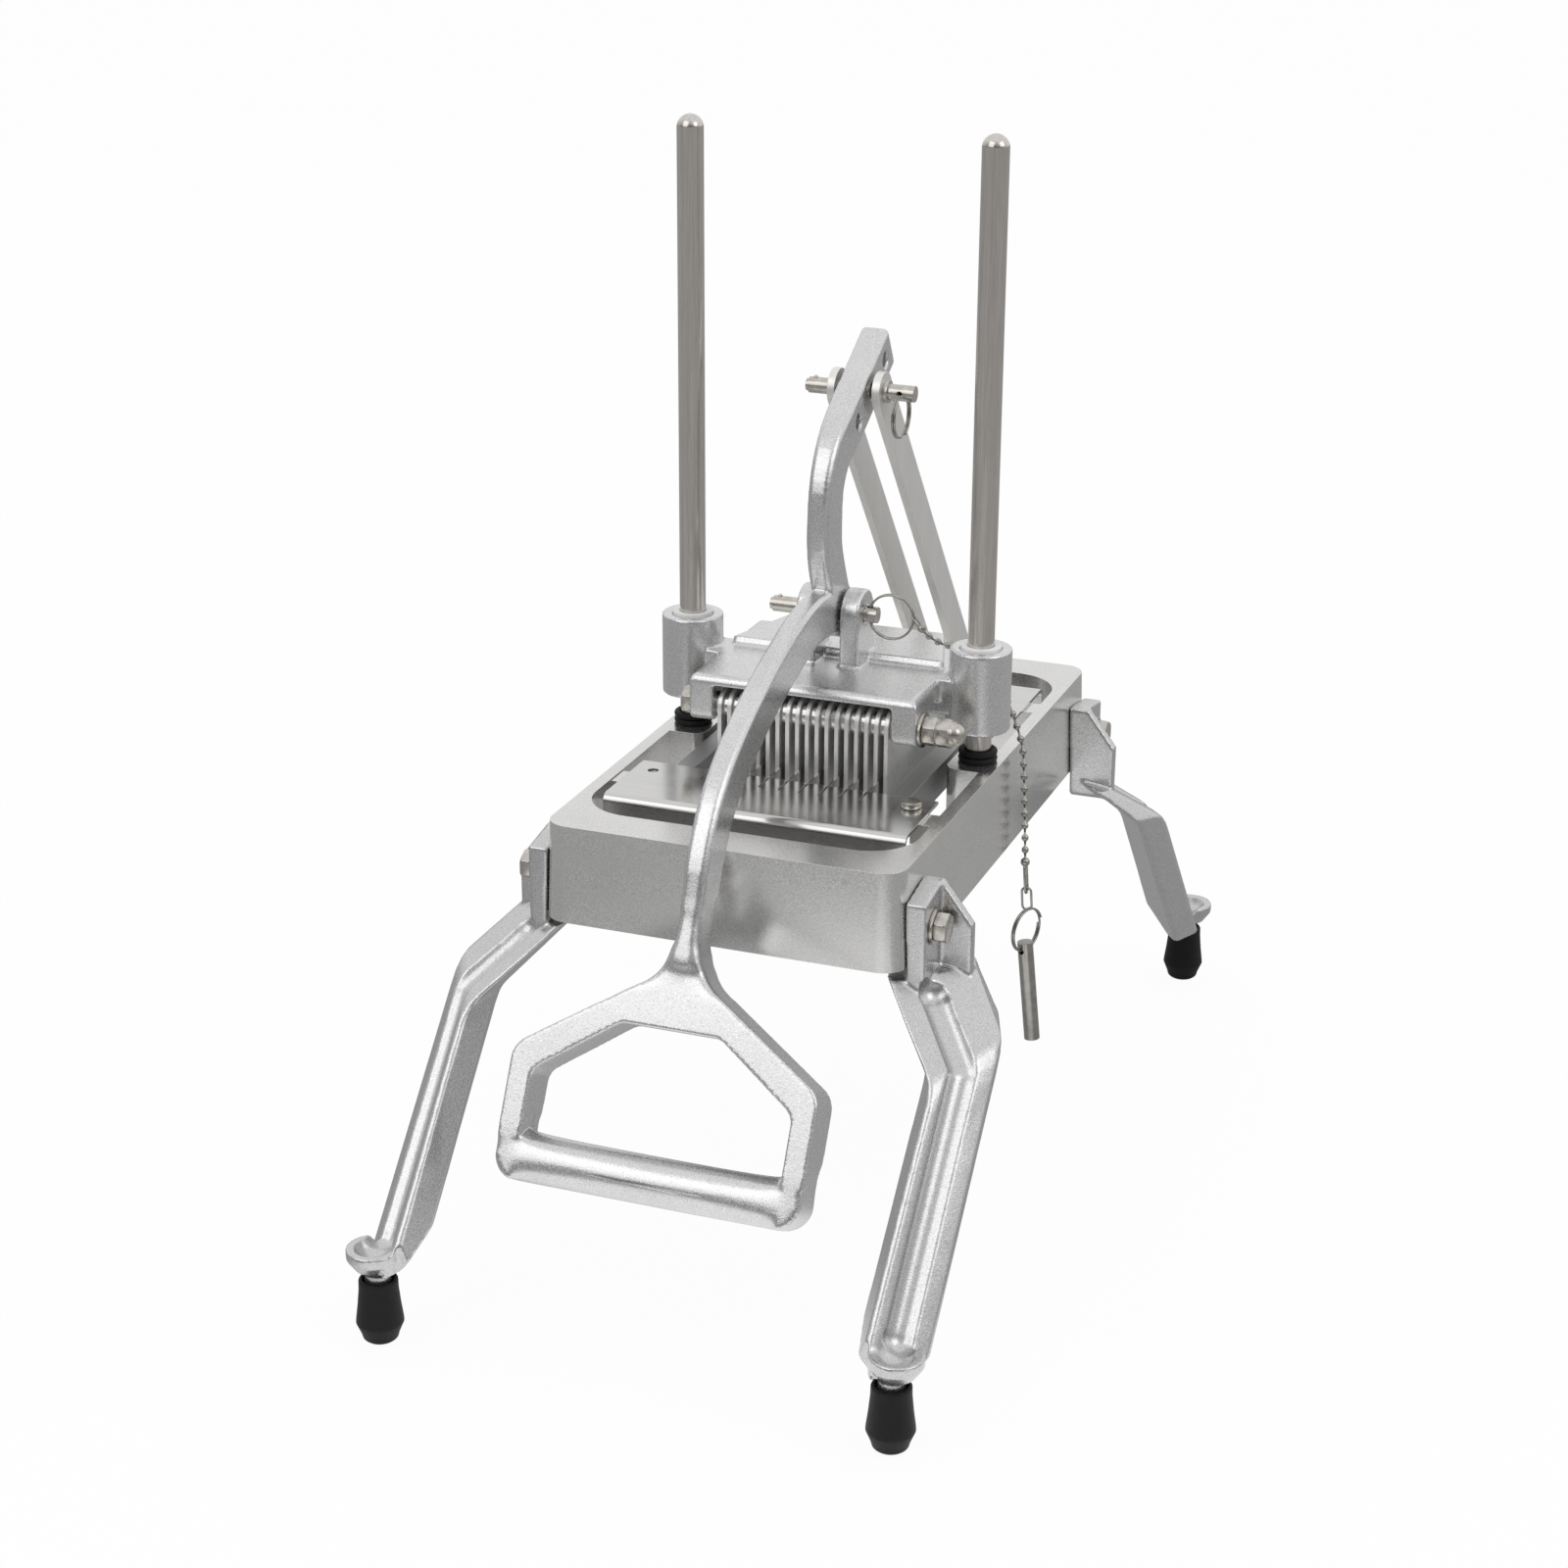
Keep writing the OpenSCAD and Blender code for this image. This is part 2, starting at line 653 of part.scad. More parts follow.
// the head casting, with a web from the hood to each rod boss
web_half = 11;
web_lift = 8;
module pusher_head() {
    color(cast_bright) difference() {
        union() {
            difference() {
                intersection() {
                    along_x(-hood_x, hood_x) hood_side();
                    along_y(-hood_y, hood_y) hood_front();
                }
                translate([-ear_in, -hood_y - over, 0])
                    cube([2 * ear_in, hood_len + 2 * over, hood_under]);
                along_x(-hood_x - over, hood_x + over)
                    round_rect(ear_len - hood_y, hood_y - ear_len, 0, hood_under - hood_t, hood_round);
            }
            translate([0, 0, hood_under]) linear_extrude(deck_top - hood_under) deck_plan();
            deck_cove();
            both_sides() {
                clevis_ear();
                translate([rod_x, 0, boss_z]) cylinder(h = boss_h, d = boss_d);
                translate([ear_in, -web_half, boss_z + web_lift])
                    cube([rod_x - ear_in, 2 * web_half, hood_top - boss_z - web_lift]);
            }
        }
        both_sides() translate([rod_x, 0, boss_z - over])
            cylinder(h = boss_h + 2 * over, d = bushing_d + 2 * run_fit);
        rod_along_x(-rod_x, rod_x, 0, lever_z, pin_d + 2 * run_fit);
        for (y = [-bolt_y, bolt_y]) {
            rod_along_x(-rod_x, rod_x, y, bolt_z, bolt_d + 2 * run_fit);
        }
    }
}

// nylon bushing, running on the rod
module bushing() {
    color(nylon) translate([rod_x, 0, boss_z]) difference() {
        cylinder(h = boss_h + bushing_proud, d = bushing_d);
        translate([0, 0, -over]) cylinder(h = boss_h + bushing_proud + 2 * over, r = rod_r + run_fit);
    }
}
module bushing_right() bushing();
module bushing_left() mirror([1, 0, 0]) bushing();

// cross bolts with a washer, a hex nut and an acorn nut on the right
nut_x = hood_x + seat + washer_t + seat;
nut_t = 6.5;
acorn_x = nut_x + nut_t + seat;
acorn_hex = 7;
module cross_bolt(y) {
    color(steel) {
        rod_along_x(-hood_x - seat - over, acorn_x + acorn_hex, y, bolt_z, bolt_d);
        hex_x(-hood_x - seat - head_t, -hood_x - seat, y, bolt_z, nut_flats);
    }
}
module cross_bolt_front() cross_bolt(-bolt_y);
module cross_bolt_rear() cross_bolt(bolt_y);
module cross_washers() {
    color(nickel) both_ends() difference() {
        rod_along_x(hood_x + seat, hood_x + seat + washer_t, bolt_y, bolt_z, washer_d);
        rod_along_x(hood_x, hood_x + 2 * washer_t, bolt_y, bolt_z, bolt_d + 2 * run_fit);
    }
}
module cross_nuts() {
    color(nickel) both_ends() difference() {
        hex_x(nut_x, nut_x + nut_t, bolt_y, bolt_z, nut_flats);
        rod_along_x(nut_x - over, nut_x + nut_t + over, bolt_y, bolt_z, bolt_d + 2 * run_fit);
    }
}
module acorn_nuts() {
    dome = nut_flats / 2;
    color(nickel) both_ends() difference() {
        union() {
            hex_x(acorn_x, acorn_x + acorn_hex, bolt_y, bolt_z, nut_flats);
            translate([acorn_x + acorn_hex, bolt_y, bolt_z]) sphere(r = dome - seat);
        }
        rod_along_x(acorn_x - dome, acorn_x + acorn_hex + seat, bolt_y, bolt_z, bolt_d + 2 * run_fit);
        translate([acorn_x - 2 * dome, bolt_y - dome, bolt_z - dome]) cube(2 * dome);
    }
}

// pusher plates: upright blades with round upper corners about the cross bolts
plate_x = [for (i = [0:plate_count - 1]) (i - (plate_count - 1) / 2) * plate_pitch];
module plate_outline() {
    reach = bolt_y + plate_r;
    difference() {
        union() {
            translate([-bolt_y, bolt_z]) square([bolt_gap, plate_r]);
            translate([-reach, bolt_z - plate_drop]) square([2 * reach, plate_drop]);
            for (y = [-bolt_y, bolt_y]) {
                translate([y, bolt_z]) circle(plate_r);
            }
        }
        for (y = [-bolt_y, bolt_y]) {
            translate([y, bolt_z]) circle(d = bolt_d + 2 * run_fit);
        }
    }
}
module pusher_plates() {
    color(steel) for (x = plate_x) {
        along_x(x - plate_t / 2, x + plate_t / 2) plate_outline();
    }
}

// spacers between the plates and out to the bolt ears
module spacer(x0, x1) {
    both_ends() difference() {
        rod_along_x(x0 + run_fit, x1 - run_fit, bolt_y, bolt_z, spacer_d);
        rod_along_x(x0 - over, x1 + over, bolt_y, bolt_z, bolt_d + 2 * run_fit);
    }
}
module plate_spacers() {
    color(steel) {
        for (i = [0:plate_count - 2]) {
            spacer(plate_x[i] + plate_t / 2, plate_x[i + 1] - plate_t / 2);
        }
        both_sides() spacer(plate_x[plate_count - 1] + plate_t / 2, ear_in);
    }
}

// lever arm stations from the lever pin: back, up, half thickness, half depth
arm_half = lever_t / 2;
eye_half = eye_t / 2;
arm_deep = lever_depth / 2;
eye_turn = 30;
eye_tip = 1.45;
eye_step = eye_pitch * [cos(eye_turn), sin(eye_turn)];
top_at = [top_pin_back, top_pin_rise];
function stop(at, half) = [at[0], at[1], half, arm_deep];
upper_arm = [
    stop(top_at + eye_tip * eye_step, eye_half),
    stop(top_at + eye_step, eye_half),
    stop(top_at, eye_half),
    stop(top_at - eye_step, eye_half),
    stop([-4, 80], blend(eye_half, arm_half, 0.6)),
    stop([-13, 66], arm_half),
    stop([-15.5, 50], arm_half),
    stop([-15, 34], arm_half),
    stop([-9, 18], arm_half),
    stop([0, 0], arm_half)];
lower_arm = [
    stop([0, 0], arm_half),
    stop([-20, 4], arm_half),
    stop([-45, 3], arm_half),
    stop([-80, -7], arm_half),
    stop([-110, -19], arm_half),
    stop([-136, -33], arm_half),
    stop([-154, -48], arm_half),
    stop([-166, -66], arm_half),
    stop([-174, -86], arm_half),
    stop([-186, -110], arm_half + 1)];
arm_steps = 4;
arm_sides = 8;

// ring of points round the arm at one station, with chamfered edges
function arm_ring(run, i) = let (
    p = run[i],
    a = run[max(i - 1, 0)],
    b = run[min(i + 1, len(run) - 1)],
    t = unit([b[0] - a[0], b[1] - a[1]]),
    e = lever_edge,
    w = p[2],
    d = p[3]
) [for (s = [[w, d - e], [w - e, d], [e - w, d], [-w, d - e],
        [-w, e - d], [e - w, -d], [w - e, -d], [w, e - d]])
    [s[0], p[0] - t[1] * s[1], lever_z + p[1] + t[0] * s[1]]];
module arm(stations) {
    run = smooth_run(stations, arm_steps);
    skin([for (i = [0:len(run) - 1]) arm_ring(run, i)], plain_cap(arm_sides));
}

// outline with rounded corners: each point is across, down and its corner radius
arc_steps = 6;
function flat(q) = [q[0], q[1]];
function corner_arc(pts, i) = let (
    n = len(pts),
    at = flat(pts[i]),
    u = unit(flat(pts[(i + n - 1) % n]) - at),
    v = unit(flat(pts[(i + 1) % n]) - at),
    half = acos(u * v) / 2,
    r = pts[i][2],
    mid = at + unit(u + v) * r / sin(half),
    head = at + u * r / tan(half) - mid,
    tail = at + v * r / tan(half) - mid
) [for (k = [0:arc_steps]) mid + r * unit(blend(head, tail, k / arc_steps))];
module rounded_outline(pts) {
    polygon([for (i = [0:len(pts) - 1]) each corner_arc(pts, i)]);
}

// grip loop, drawn in its own leaning plane: across, and down from the neck
neck_at = [-183.5, -109.5];
neck_half = arm_half + 2;
neck_r = 20;
neck_down = 4;
grip_lean = 28;
bar_down = 96;
inner_half = 23.5;
inner_down = 30;
corner_down = 47;
rail_down = 57;
outer_r = 12;
inner_r = 8;
nib_r = 0.5;
module grip_loop() {
    x1 = grip_w / 2;
    x0 = x1 - grip_rail;
    end = bar_down + grip_bar_d / 2;
    difference() {
        rounded_outline([[-neck_half, -neck_down, nib_r], [neck_half, -neck_down, nib_r],
            [neck_half, neck_down, neck_r], [x1, corner_down, outer_r], [x1, end, outer_r],
            [-x1, end, outer_r], [-x1, corner_down, outer_r], [-neck_half, neck_down, neck_r]]);
        rounded_outline([[-inner_half, inner_down, inner_r], [inner_half, inner_down, inner_r],
            [x0, rail_down, inner_r], [x0, end + outer_r, nib_r], [-x0, end + outer_r, nib_r],
            [-x0, rail_down, inner_r]]);
    }
}
module grip() {
    x0 = grip_w / 2 - grip_rail / 2;
    translate([0, neck_at[0], lever_z + neck_at[1]]) rotate([270 - grip_lean, 0, 0]) {
        translate([0, 0, -arm_deep]) linear_extrude(lever_depth) grip_loop();
        translate([-x0, bar_down, 0]) rotate([0, 90, 0]) cylinder(h = 2 * x0, d = grip_bar_d);
    }
}
lug_half = 12.5;
module lever_handle() {
    color(cast_bright) difference() {
        union() {
            arm(upper_arm);
            arm(lower_arm);
            rod_along_x(-arm_half, arm_half, 0, lever_z, 2 * lug_half);
            grip();
        }
        for (i = [-1:1]) {
            rod_along_x(-eye_t, eye_t, top_at[0] + i * eye_step[0], lever_z + top_at[1] + i * eye_step[1],
                pin_d + 2 * run_fit);
        }
        rod_along_x(-lever_t, lever_t, 0, lever_z, pin_d + 2 * run_fit);
    }
}

// release pins with a cross hole for the ring near the right end
hole_in = 4;
ring_play = 1.4;
ring_hole_d = ring_wire + ring_play;
sag = ring_r - sqrt(ring_r * ring_r - pin_r * pin_r);
tip_len = 1.5;
tip_d = pin_d - 2;
pin_proud = 6;
lever_pin_end = clevis_out + pin_proud;
lever_hole_x = lever_pin_end - hole_in;
lever_ring_x = lever_hole_x + ring_r - sag / 2;
module split_ring() {
    rotate_extrude() translate([ring_r, 0]) circle(d = ring_wire);
}
module lever_pin() {
    color(nickel) difference() {
        union() {
            rod_along_x(lever_pin_end - pin_len, lever_pin_end, 0, lever_z, pin_d);
            rod_along_x(lever_pin_end - pin_len - tip_len, lever_pin_end - pin_len, 0, lever_z, tip_d);
        }
        translate([lever_hole_x, 0, lever_z - pin_d]) cylinder(h = 2 * pin_d, d = ring_hole_d);
    }
}
module lever_pin_ring() {
    color(nickel) translate([lever_ring_x, 0, lever_z]) rotate([90, 0, 0]) split_ring();
}

// the two exposed ends of the top pin, held by the links
top_pin_right = 28.3;
top_pin_left = 25;
top_hole_in = 7;
top_hole_x = top_pin_right - top_hole_in;
collar_t = 2;
collar_rim = 1.5;
module top_pin() {
    gap = eye_half + hinge_gap;
    color(nickel) difference() {
        union() {
            rod_along_x(gap, top_pin_right, top_y, top_z, pin_d);
            rod_along_x(-top_pin_left, -gap, top_y, top_z, pin_d);
            rod_along_x(-top_pin_left - tip_len, -top_pin_left, top_y, top_z, tip_d);
            rod_along_x(link_out + seat, link_out + seat + collar_t, top_y, top_z,
                pin_d + 2 * collar_rim);
        }
        translate([top_hole_x, top_y - pin_d, top_z]) rotate([-90, 0, 0])
            cylinder(h = 2 * pin_d, d = ring_hole_d);
    }
}
module top_pin_ring() {
    color(nickel) translate([top_hole_x, top_y, top_z - ring_r + sag / 2]) rotate([0, 90, 0])
        split_ring();
}

// link bars from the top pin to the rear pivot
module link_bar() {
    run = [pivot_y - top_y, pivot_z - top_z];
    tilt = atan2(run[1], run[0]);
    color(cast_bright) translate([0, top_y, top_z]) rotate([tilt, 0, 0]) along_x(link_in, link_out)
        difference() {
            union() {
                circle(d = link_w);
                translate([0, -link_w / 2]) square([norm(run), link_w]);
                translate([norm(run), 0]) circle(d = link_w);
            }
            circle(d = pin_d + 2 * run_fit);
            translate([norm(run), 0]) circle(d = pivot_d + 2 * run_fit);
        }
}
module link_right() link_bar();
module link_left() mirror([1, 0, 0]) link_bar();

// rear pivot pin with a clip outside each link
clip_t = 1.2;
clip_rim = 3;
pivot_tail = 2.5;
module rear_pivot_pin() {
    end = link_out + hinge_gap + clip_t + pivot_tail;
    color(nickel) rod_along_x(-end, end, pivot_y, pivot_z, pivot_d);
}
module rear_pivot_clips() {
    x0 = link_out + hinge_gap;
    color(nickel) both_sides() difference() {
        rod_along_x(x0, x0 + clip_t, pivot_y, pivot_z, pivot_d + 2 * clip_rim);
        rod_along_x(x0 - over, x0 + clip_t + over, pivot_y, pivot_z, pivot_d + 2 * run_fit);
    }
}

// blade positions: every second gap between the pusher plates
blade_x = [for (i = [0:blade_count - 1]) (i - (blade_count - 1) / 2) * 2 * plate_pitch];
slit_play = 0.15;

// bent cartridge plate at the back: flat top, bend, apron, and slits for the blade ends
module cartridge_plate() {
    color(steel) difference() {
        along_x(-cart_x, cart_x) {
            translate([cart_inner, cart_under]) square([cart_reach - cart_bend - cart_inner, cart_t]);
            translate([cart_reach - cart_t, cart_top - apron_h]) square([cart_t, apron_h - cart_bend]);
            translate([cart_reach - cart_bend, cart_top - cart_bend]) intersection() {
                difference() {
                    circle(cart_bend);
                    circle(cart_bend - cart_t);
                }
                square(cart_bend);
            }
        }
        for (x = blade_x) {
            translate([x - blade_t / 2 - slit_play, cart_inner - over, cart_under - over])
                cube([blade_t + 2 * slit_play, slit_len + over + slit_play, cart_t + 2 * over]);
        }
        both_sides() translate([button_x, button_y, cart_under - over])
            cylinder(h = cart_t + 2 * over, d = button_stem + 2 * run_fit);
    }
}
module cartridge_rear() cartridge_plate();
module cartridge_front() mirror([0, 1, 0]) cartridge_plate();

// side rail under both plates
module side_rail() {
    end = cart_reach - cart_bend - 2 * over;
    color(steel) translate([rail_in, -end, cart_under - run_fit - rail_h])
        cube([rail_w, 2 * end, rail_h]);
}
module rail_right() side_rail();
module rail_left() mirror([1, 0, 0]) side_rail();

// thin upright blades held in the slits
module blades() {
    end = cart_inner + slit_len;
    color(steel) for (x = blade_x) {
        along_x(x - blade_t / 2, x + blade_t / 2) polygon([[-end, cart_top], [end, cart_top],
            [end, cart_top - blade_h], [-end, cart_top - blade_h]]);
    }
}

// locating buttons on the right front and left back of the cartridge
module locating_button() {
    translate([button_x, -button_y, cart_top + run_fit]) cylinder(h = button_h, d = button_d);
    translate([button_x, -button_y, cart_under - over]) cylinder(h = cart_t + 2 * over, d = button_stem);
}
module locating_buttons() {
    color(steel) {
        locating_button();
        rotate([0, 0, 180]) locating_button();
    }
}

// bead chain from the lever pin's ring over the head and down outside the frame
chain_head = [[44, 0, 62.5], [47, 4, 57.5], [52, 10, 52.5], [58, 16, 50]];
chain_fall = [[-22, 20, 47.5], [-16, 22.5, 41.5], [-10, 23.5, 31.5], [-4, 23.5, 20.5],
    [0.5, 22.5, 10.5], [3.8, 21.5, 0.5], [5, 21, -10.5], [5.7, 21, -22.5], [6.3, 21, -34.5],
    [6.9, 21, -46.5], [7.4, 21, -58.5]];
chain_route = concat([for (p = chain_head) p + [0, 0, frame_top]],
    [for (p = chain_fall) p + [half_w, 0, frame_top]]);
chain_sides = 8;
chain_steps = 3;
chain_side = [0.3, 1, 0.1];
function chain_ring(run, i) = let (
    t = unit(run[min(i + 1, len(run) - 1)] - run[max(i - 1, 0)]),
    u = unit(cross(t, chain_side)),
    v = cross(t, u)
) [for (k = [0:chain_sides - 1]) let (a = 360 * k / chain_sides)
    run[i] + chain_d / 2 * (cos(a) * u - sin(a) * v)];
module bead_chain() {
    run = smooth_run(chain_route, chain_steps);
    color(nickel) skin([for (i = [0:len(run) - 1]) chain_ring(run, i)], plain_cap(chain_sides));
}

// short links that join the chain to its rings, and the spare pin on the lower ring
hook_d = 4;
module chain_hook() {
    color(nickel) peg(chain_route[0], [lever_ring_x + ring_r, 0, lever_z], hook_d);
}
ring_hang = [9.2, 21, -94.5];
lower_ring = ring_hang + [half_w, 0, frame_top];
module chain_clip() {
    color(nickel) peg(chain_route[len(chain_route) - 1], lower_ring + [0, 0, ring_r], hook_d);
}
lower_turn = 70;
module spare_pin_ring() {
    color(nickel) translate(lower_ring) rotate([0, 0, lower_turn]) rotate([90, 0, 0]) split_ring();
}
spare_tilt = 6;
spare_len = 52;
module spare_pin() {
    color(nickel) translate(lower_ring - [0, 0, ring_r - sag / 2]) rotate([0, -spare_tilt, 0])
        difference() {
            translate([0, 0, hole_in - spare_len]) cylinder(h = spare_len, d = pin_d);
            rotate([0, 0, lower_turn]) rotate([0, 90, 0]) translate([0, 0, -pin_d])
                cylinder(h = 2 * pin_d, d = ring_hole_d);
        }
}

base_frame();
leg_front_right();
leg_front_left();
leg_rear_right();
leg_rear_left();
leg_bolts();
leg_washers();
foot_front_right();
foot_front_left();
foot_rear_right();
foot_rear_left();
guide_rod_right();
guide_rod_left();
rod_bumpers();
pusher_head();
bushing_right();
bushing_left();
cross_bolt_front();
cross_bolt_rear();
cross_washers();
cross_nuts();
acorn_nuts();
pusher_plates();
plate_spacers();
lever_handle();
lever_pin();
lever_pin_ring();
link_right();
link_left();
top_pin();
top_pin_ring();
rear_pivot_pin();
rear_pivot_clips();
cartridge_front();
cartridge_rear();
rail_right();
rail_left();
blades();
locating_buttons();
bead_chain();
chain_hook();
chain_clip();
spare_pin_ring();
spare_pin();
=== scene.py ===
"""Looks of a vertical vegetable slicer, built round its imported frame."""

import json
import math

import bpy
from bpy.props import FloatProperty, FloatVectorProperty, IntProperty, PointerProperty
from mathutils import Matrix, Vector


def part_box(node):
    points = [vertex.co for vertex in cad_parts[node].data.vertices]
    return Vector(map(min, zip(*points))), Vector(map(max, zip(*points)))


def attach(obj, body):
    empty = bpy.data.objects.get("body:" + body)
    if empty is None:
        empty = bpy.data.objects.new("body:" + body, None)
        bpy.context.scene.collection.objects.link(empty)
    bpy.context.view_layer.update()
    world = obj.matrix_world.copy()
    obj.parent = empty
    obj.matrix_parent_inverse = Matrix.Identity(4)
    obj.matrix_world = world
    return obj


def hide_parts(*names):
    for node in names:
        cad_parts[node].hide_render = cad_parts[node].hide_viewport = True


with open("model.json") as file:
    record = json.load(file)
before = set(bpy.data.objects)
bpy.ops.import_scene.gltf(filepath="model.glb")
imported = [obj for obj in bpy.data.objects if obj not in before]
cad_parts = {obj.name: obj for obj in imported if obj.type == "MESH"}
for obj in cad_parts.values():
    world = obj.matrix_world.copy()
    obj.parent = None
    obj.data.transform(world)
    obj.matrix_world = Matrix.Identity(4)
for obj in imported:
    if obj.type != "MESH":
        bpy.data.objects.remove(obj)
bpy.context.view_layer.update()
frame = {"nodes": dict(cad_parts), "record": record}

bl_info = {
    "name": "Vertical vegetable slicer",
    "version": (1, 0, 0),
    "blender": (4, 5, 0),
    "location": "View3D > Sidebar > Slicer",
    "description": "Dresses the slicer's frame with its castings, hardware, chain and studio",
    "category": "Object",
}

MM = 0.001
PHOTO_SIDE = 1600

# faces that meet within FLAT are one flat face, and within SMOOTH they shade as one
FLAT = math.radians(1)
SMOOTH = math.radians(30)

# points within this distance of each other are one point, in metres
SAME = 1e-6

# the part of a noise's range that a ramp spreads out
BROAD = (0.3, 0.7)
MEDIUM = (0.35, 0.65)
NARROW = (0.36, 0.64)
# the last two pick the specks that get painted glints and the pits that get painted shade
GLINT_SPECKS = (0.56, 0.68)
SHADED_PITS = (0.57, 0.70)

# shares of a metal's colour in its dark and light patches, in its pits' painted shade and in its
# specks' painted glints
DARK, LIGHT = 0.88, 1.10
PIT_SHADE_TONE, GLINT_TONE = 0.45, 1.5

# the width of a drawn metal's streak, as a share of its length
STREAK_WIDTH = 0.02

# the chain's route from the lever pin's ring to the coupling, in metres
CHAIN_ROUTE = [
    (0.044, 0.0, 0.279), (0.047, 0.004, 0.274), (0.052, 0.010, 0.269), (0.058, 0.016, 0.2665),
    (0.064, 0.020, 0.264), (0.070, 0.0225, 0.258), (0.076, 0.0235, 0.248), (0.082, 0.0235, 0.237),
    (0.0865, 0.0225, 0.227), (0.0898, 0.0215, 0.217), (0.091, 0.021, 0.206), (0.0917, 0.021, 0.194),
    (0.0923, 0.021, 0.182), (0.0929, 0.021, 0.170), (0.0934, 0.021, 0.158),
]

LEGS = ("leg_front_right", "leg_front_left", "leg_rear_right", "leg_rear_left")

# nodes that keep their form and only get their edges broken, with the width in millimetres
RODS = {"guide_rod_right": 0.4, "guide_rod_left": 0.4}
BUSHINGS = {"bushing_right": 0.6, "bushing_left": 0.6}
RUBBERS = {
    "foot_front_right": 0.7, "foot_front_left": 0.7, "foot_rear_right": 0.7, "foot_rear_left": 0.7,
    "rod_bumpers": 0.1,
}
BARS = {"link_right": 0.5, "link_left": 0.5, "rail_right": 0.5, "rail_left": 0.5}
SHEETS = {"pusher_plates": 0.3, "plate_spacers": 0.25, "locating_buttons": 0.8}
WASHERS = {"leg_washers": 0.3, "cross_washers": 0.3, "rear_pivot_clips": 0.25}

# the materials by slot, and by node where a node has its own
FINISHES = {}


def colour(label, words, value):
    """A colour a user may change."""
    return FloatVectorProperty(
        name=label, description=words, default=value, subtype="COLOR", size=3, min=0, max=1
    )


def length(label, words, value):
    """A length a user may change, in metres."""
    return FloatProperty(name=label, description=words, default=value, unit="LENGTH", min=0)


class SlicerFinishes(bpy.types.PropertyGroup):
    """Colours of the slicer's finishes"""

    cast_frame: colour("Frame casting", "Satin grey cast aluminium", (0.74, 0.735, 0.725))
    cast_bright: colour("Bright casting", "Tumbled cast aluminium", (0.72, 0.72, 0.725))
    # the legs' casting is the bright casting's colour darkened as painted shade
    cast_leg_shaded: colour("Legs", "Tumbled cast aluminium of the legs", (0.62, 0.62, 0.622))
    link_metal: colour("Link bars", "Pale satin bar", (0.88, 0.868, 0.845))
    rail_metal: colour("Side rails", "Plain milled bar", (0.48, 0.48, 0.48))
    rod_steel: colour("Guide rods", "Ground stainless rod", (0.68, 0.645, 0.61))
    plate_steel: colour("Sheet steel", "Polished stainless sheet", (0.66, 0.655, 0.645))
    plate_edge: colour("Pusher plates", "Bright blanked plates", (0.86, 0.855, 0.84))
    nickel: colour("Nickel", "Nickel-plated hardware", (0.58, 0.555, 0.51))
    small_wire: colour("Chain and rings", "Bright-drawn wire and beads", (0.40, 0.387, 0.362))
    nylon: colour("Nylon", "White bushings", (0.97, 0.97, 0.97))
    rubber: colour("Rubber", "Black moulded rubber", (0.008, 0.008, 0.009))


class SlicerSizes(bpy.types.PropertyGroup):
    """Sizes of the slicer's dressed pieces"""

    bead_d: length("Bead diameter", "Diameter of one chain bead", 0.0036)
    ring_r: length("Ring radius", "Mean radius of a split ring", 0.0110)
    ring_wire: length("Ring wire", "Thickness of a split ring's wire", 0.0011)
    hex_corner: length("Hex corner", "Half the width across the corners of a hexagon", 0.00733)
    bead_pitch: length("Bead pitch", "Distance between two beads", 0.0062)
    cast_voxel: length("Casting grain", "Mesh size of the rounded castings", 0.0009)
    edge_soft: IntProperty(
        name="Casting softness", description="Rounding passes on the castings' edges",
        default=4, min=0, max=30,
    )
    cast_share: FloatProperty(
        name="Casting faces", description="Share of a casting's faces that are kept",
        default=0.4, min=0.05, max=1,
    )
    frame_edge: length("Frame edge", "Rounding of the frame's edges", 0.0009)
    neck_soft: IntProperty(
        name="Neck softness", description="Rounding passes where the lever's arm meets its grip",
        default=30, min=0, max=100,
    )
    cart_bend: length("Cartridge bend", "Outer radius of the cartridge plates' bend", 0.004)
    blade_notch: length("Blade notch", "Depth of a blade's end below the cartridge's top", 0.0016)


class SlicerStage(bpy.types.PropertyGroup):
    """The studio round the slicer"""

    floor: colour("Floor", "Colour of the floor", (0.96, 0.96, 0.96))
    floor_side: length("Floor size", "Side of the square floor", 60.0)
    key: FloatProperty(
        name="Key light", description="Power of the main soft box", default=13, unit="POWER", min=0
    )
    fill: FloatProperty(
        name="Fill light", description="Power of the side soft box", default=6, unit="POWER", min=0
    )
    sky: FloatProperty(
        name="Room light", description="Strength of the light from above and behind", default=0.9,
        min=0,
    )
    dim: FloatProperty(
        name="Dark side", description="Strength of the light from the front", default=0.20, min=0
    )
    # a painted pool of light on the floor, seen only in reflections: its radius, and how bright the
    # floor glows far from it
    pool: length("Lit floor", "Radius of the brightly lit floor before the machine", 0.30)
    pool_edge: FloatProperty(
        name="Far floor",
        description="Brightness of the floor far from the machine, in reflections",
        default=0.36, min=0, max=1,
    )


class Value:
    """A shader socket that takes part in sums."""

    def __init__(self, nodes, socket):
        self.nodes = nodes
        self.socket = socket

    def _math(self, operation, other):
        return self.nodes.node("ShaderNodeMath", {"operation": operation}, {0: self, 1: other})

    def __add__(self, other):
        return self._math("ADD", other)

    def __sub__(self, other):
        return self._math("SUBTRACT", other)

    def __mul__(self, other):
        return self._math("MULTIPLY", other)


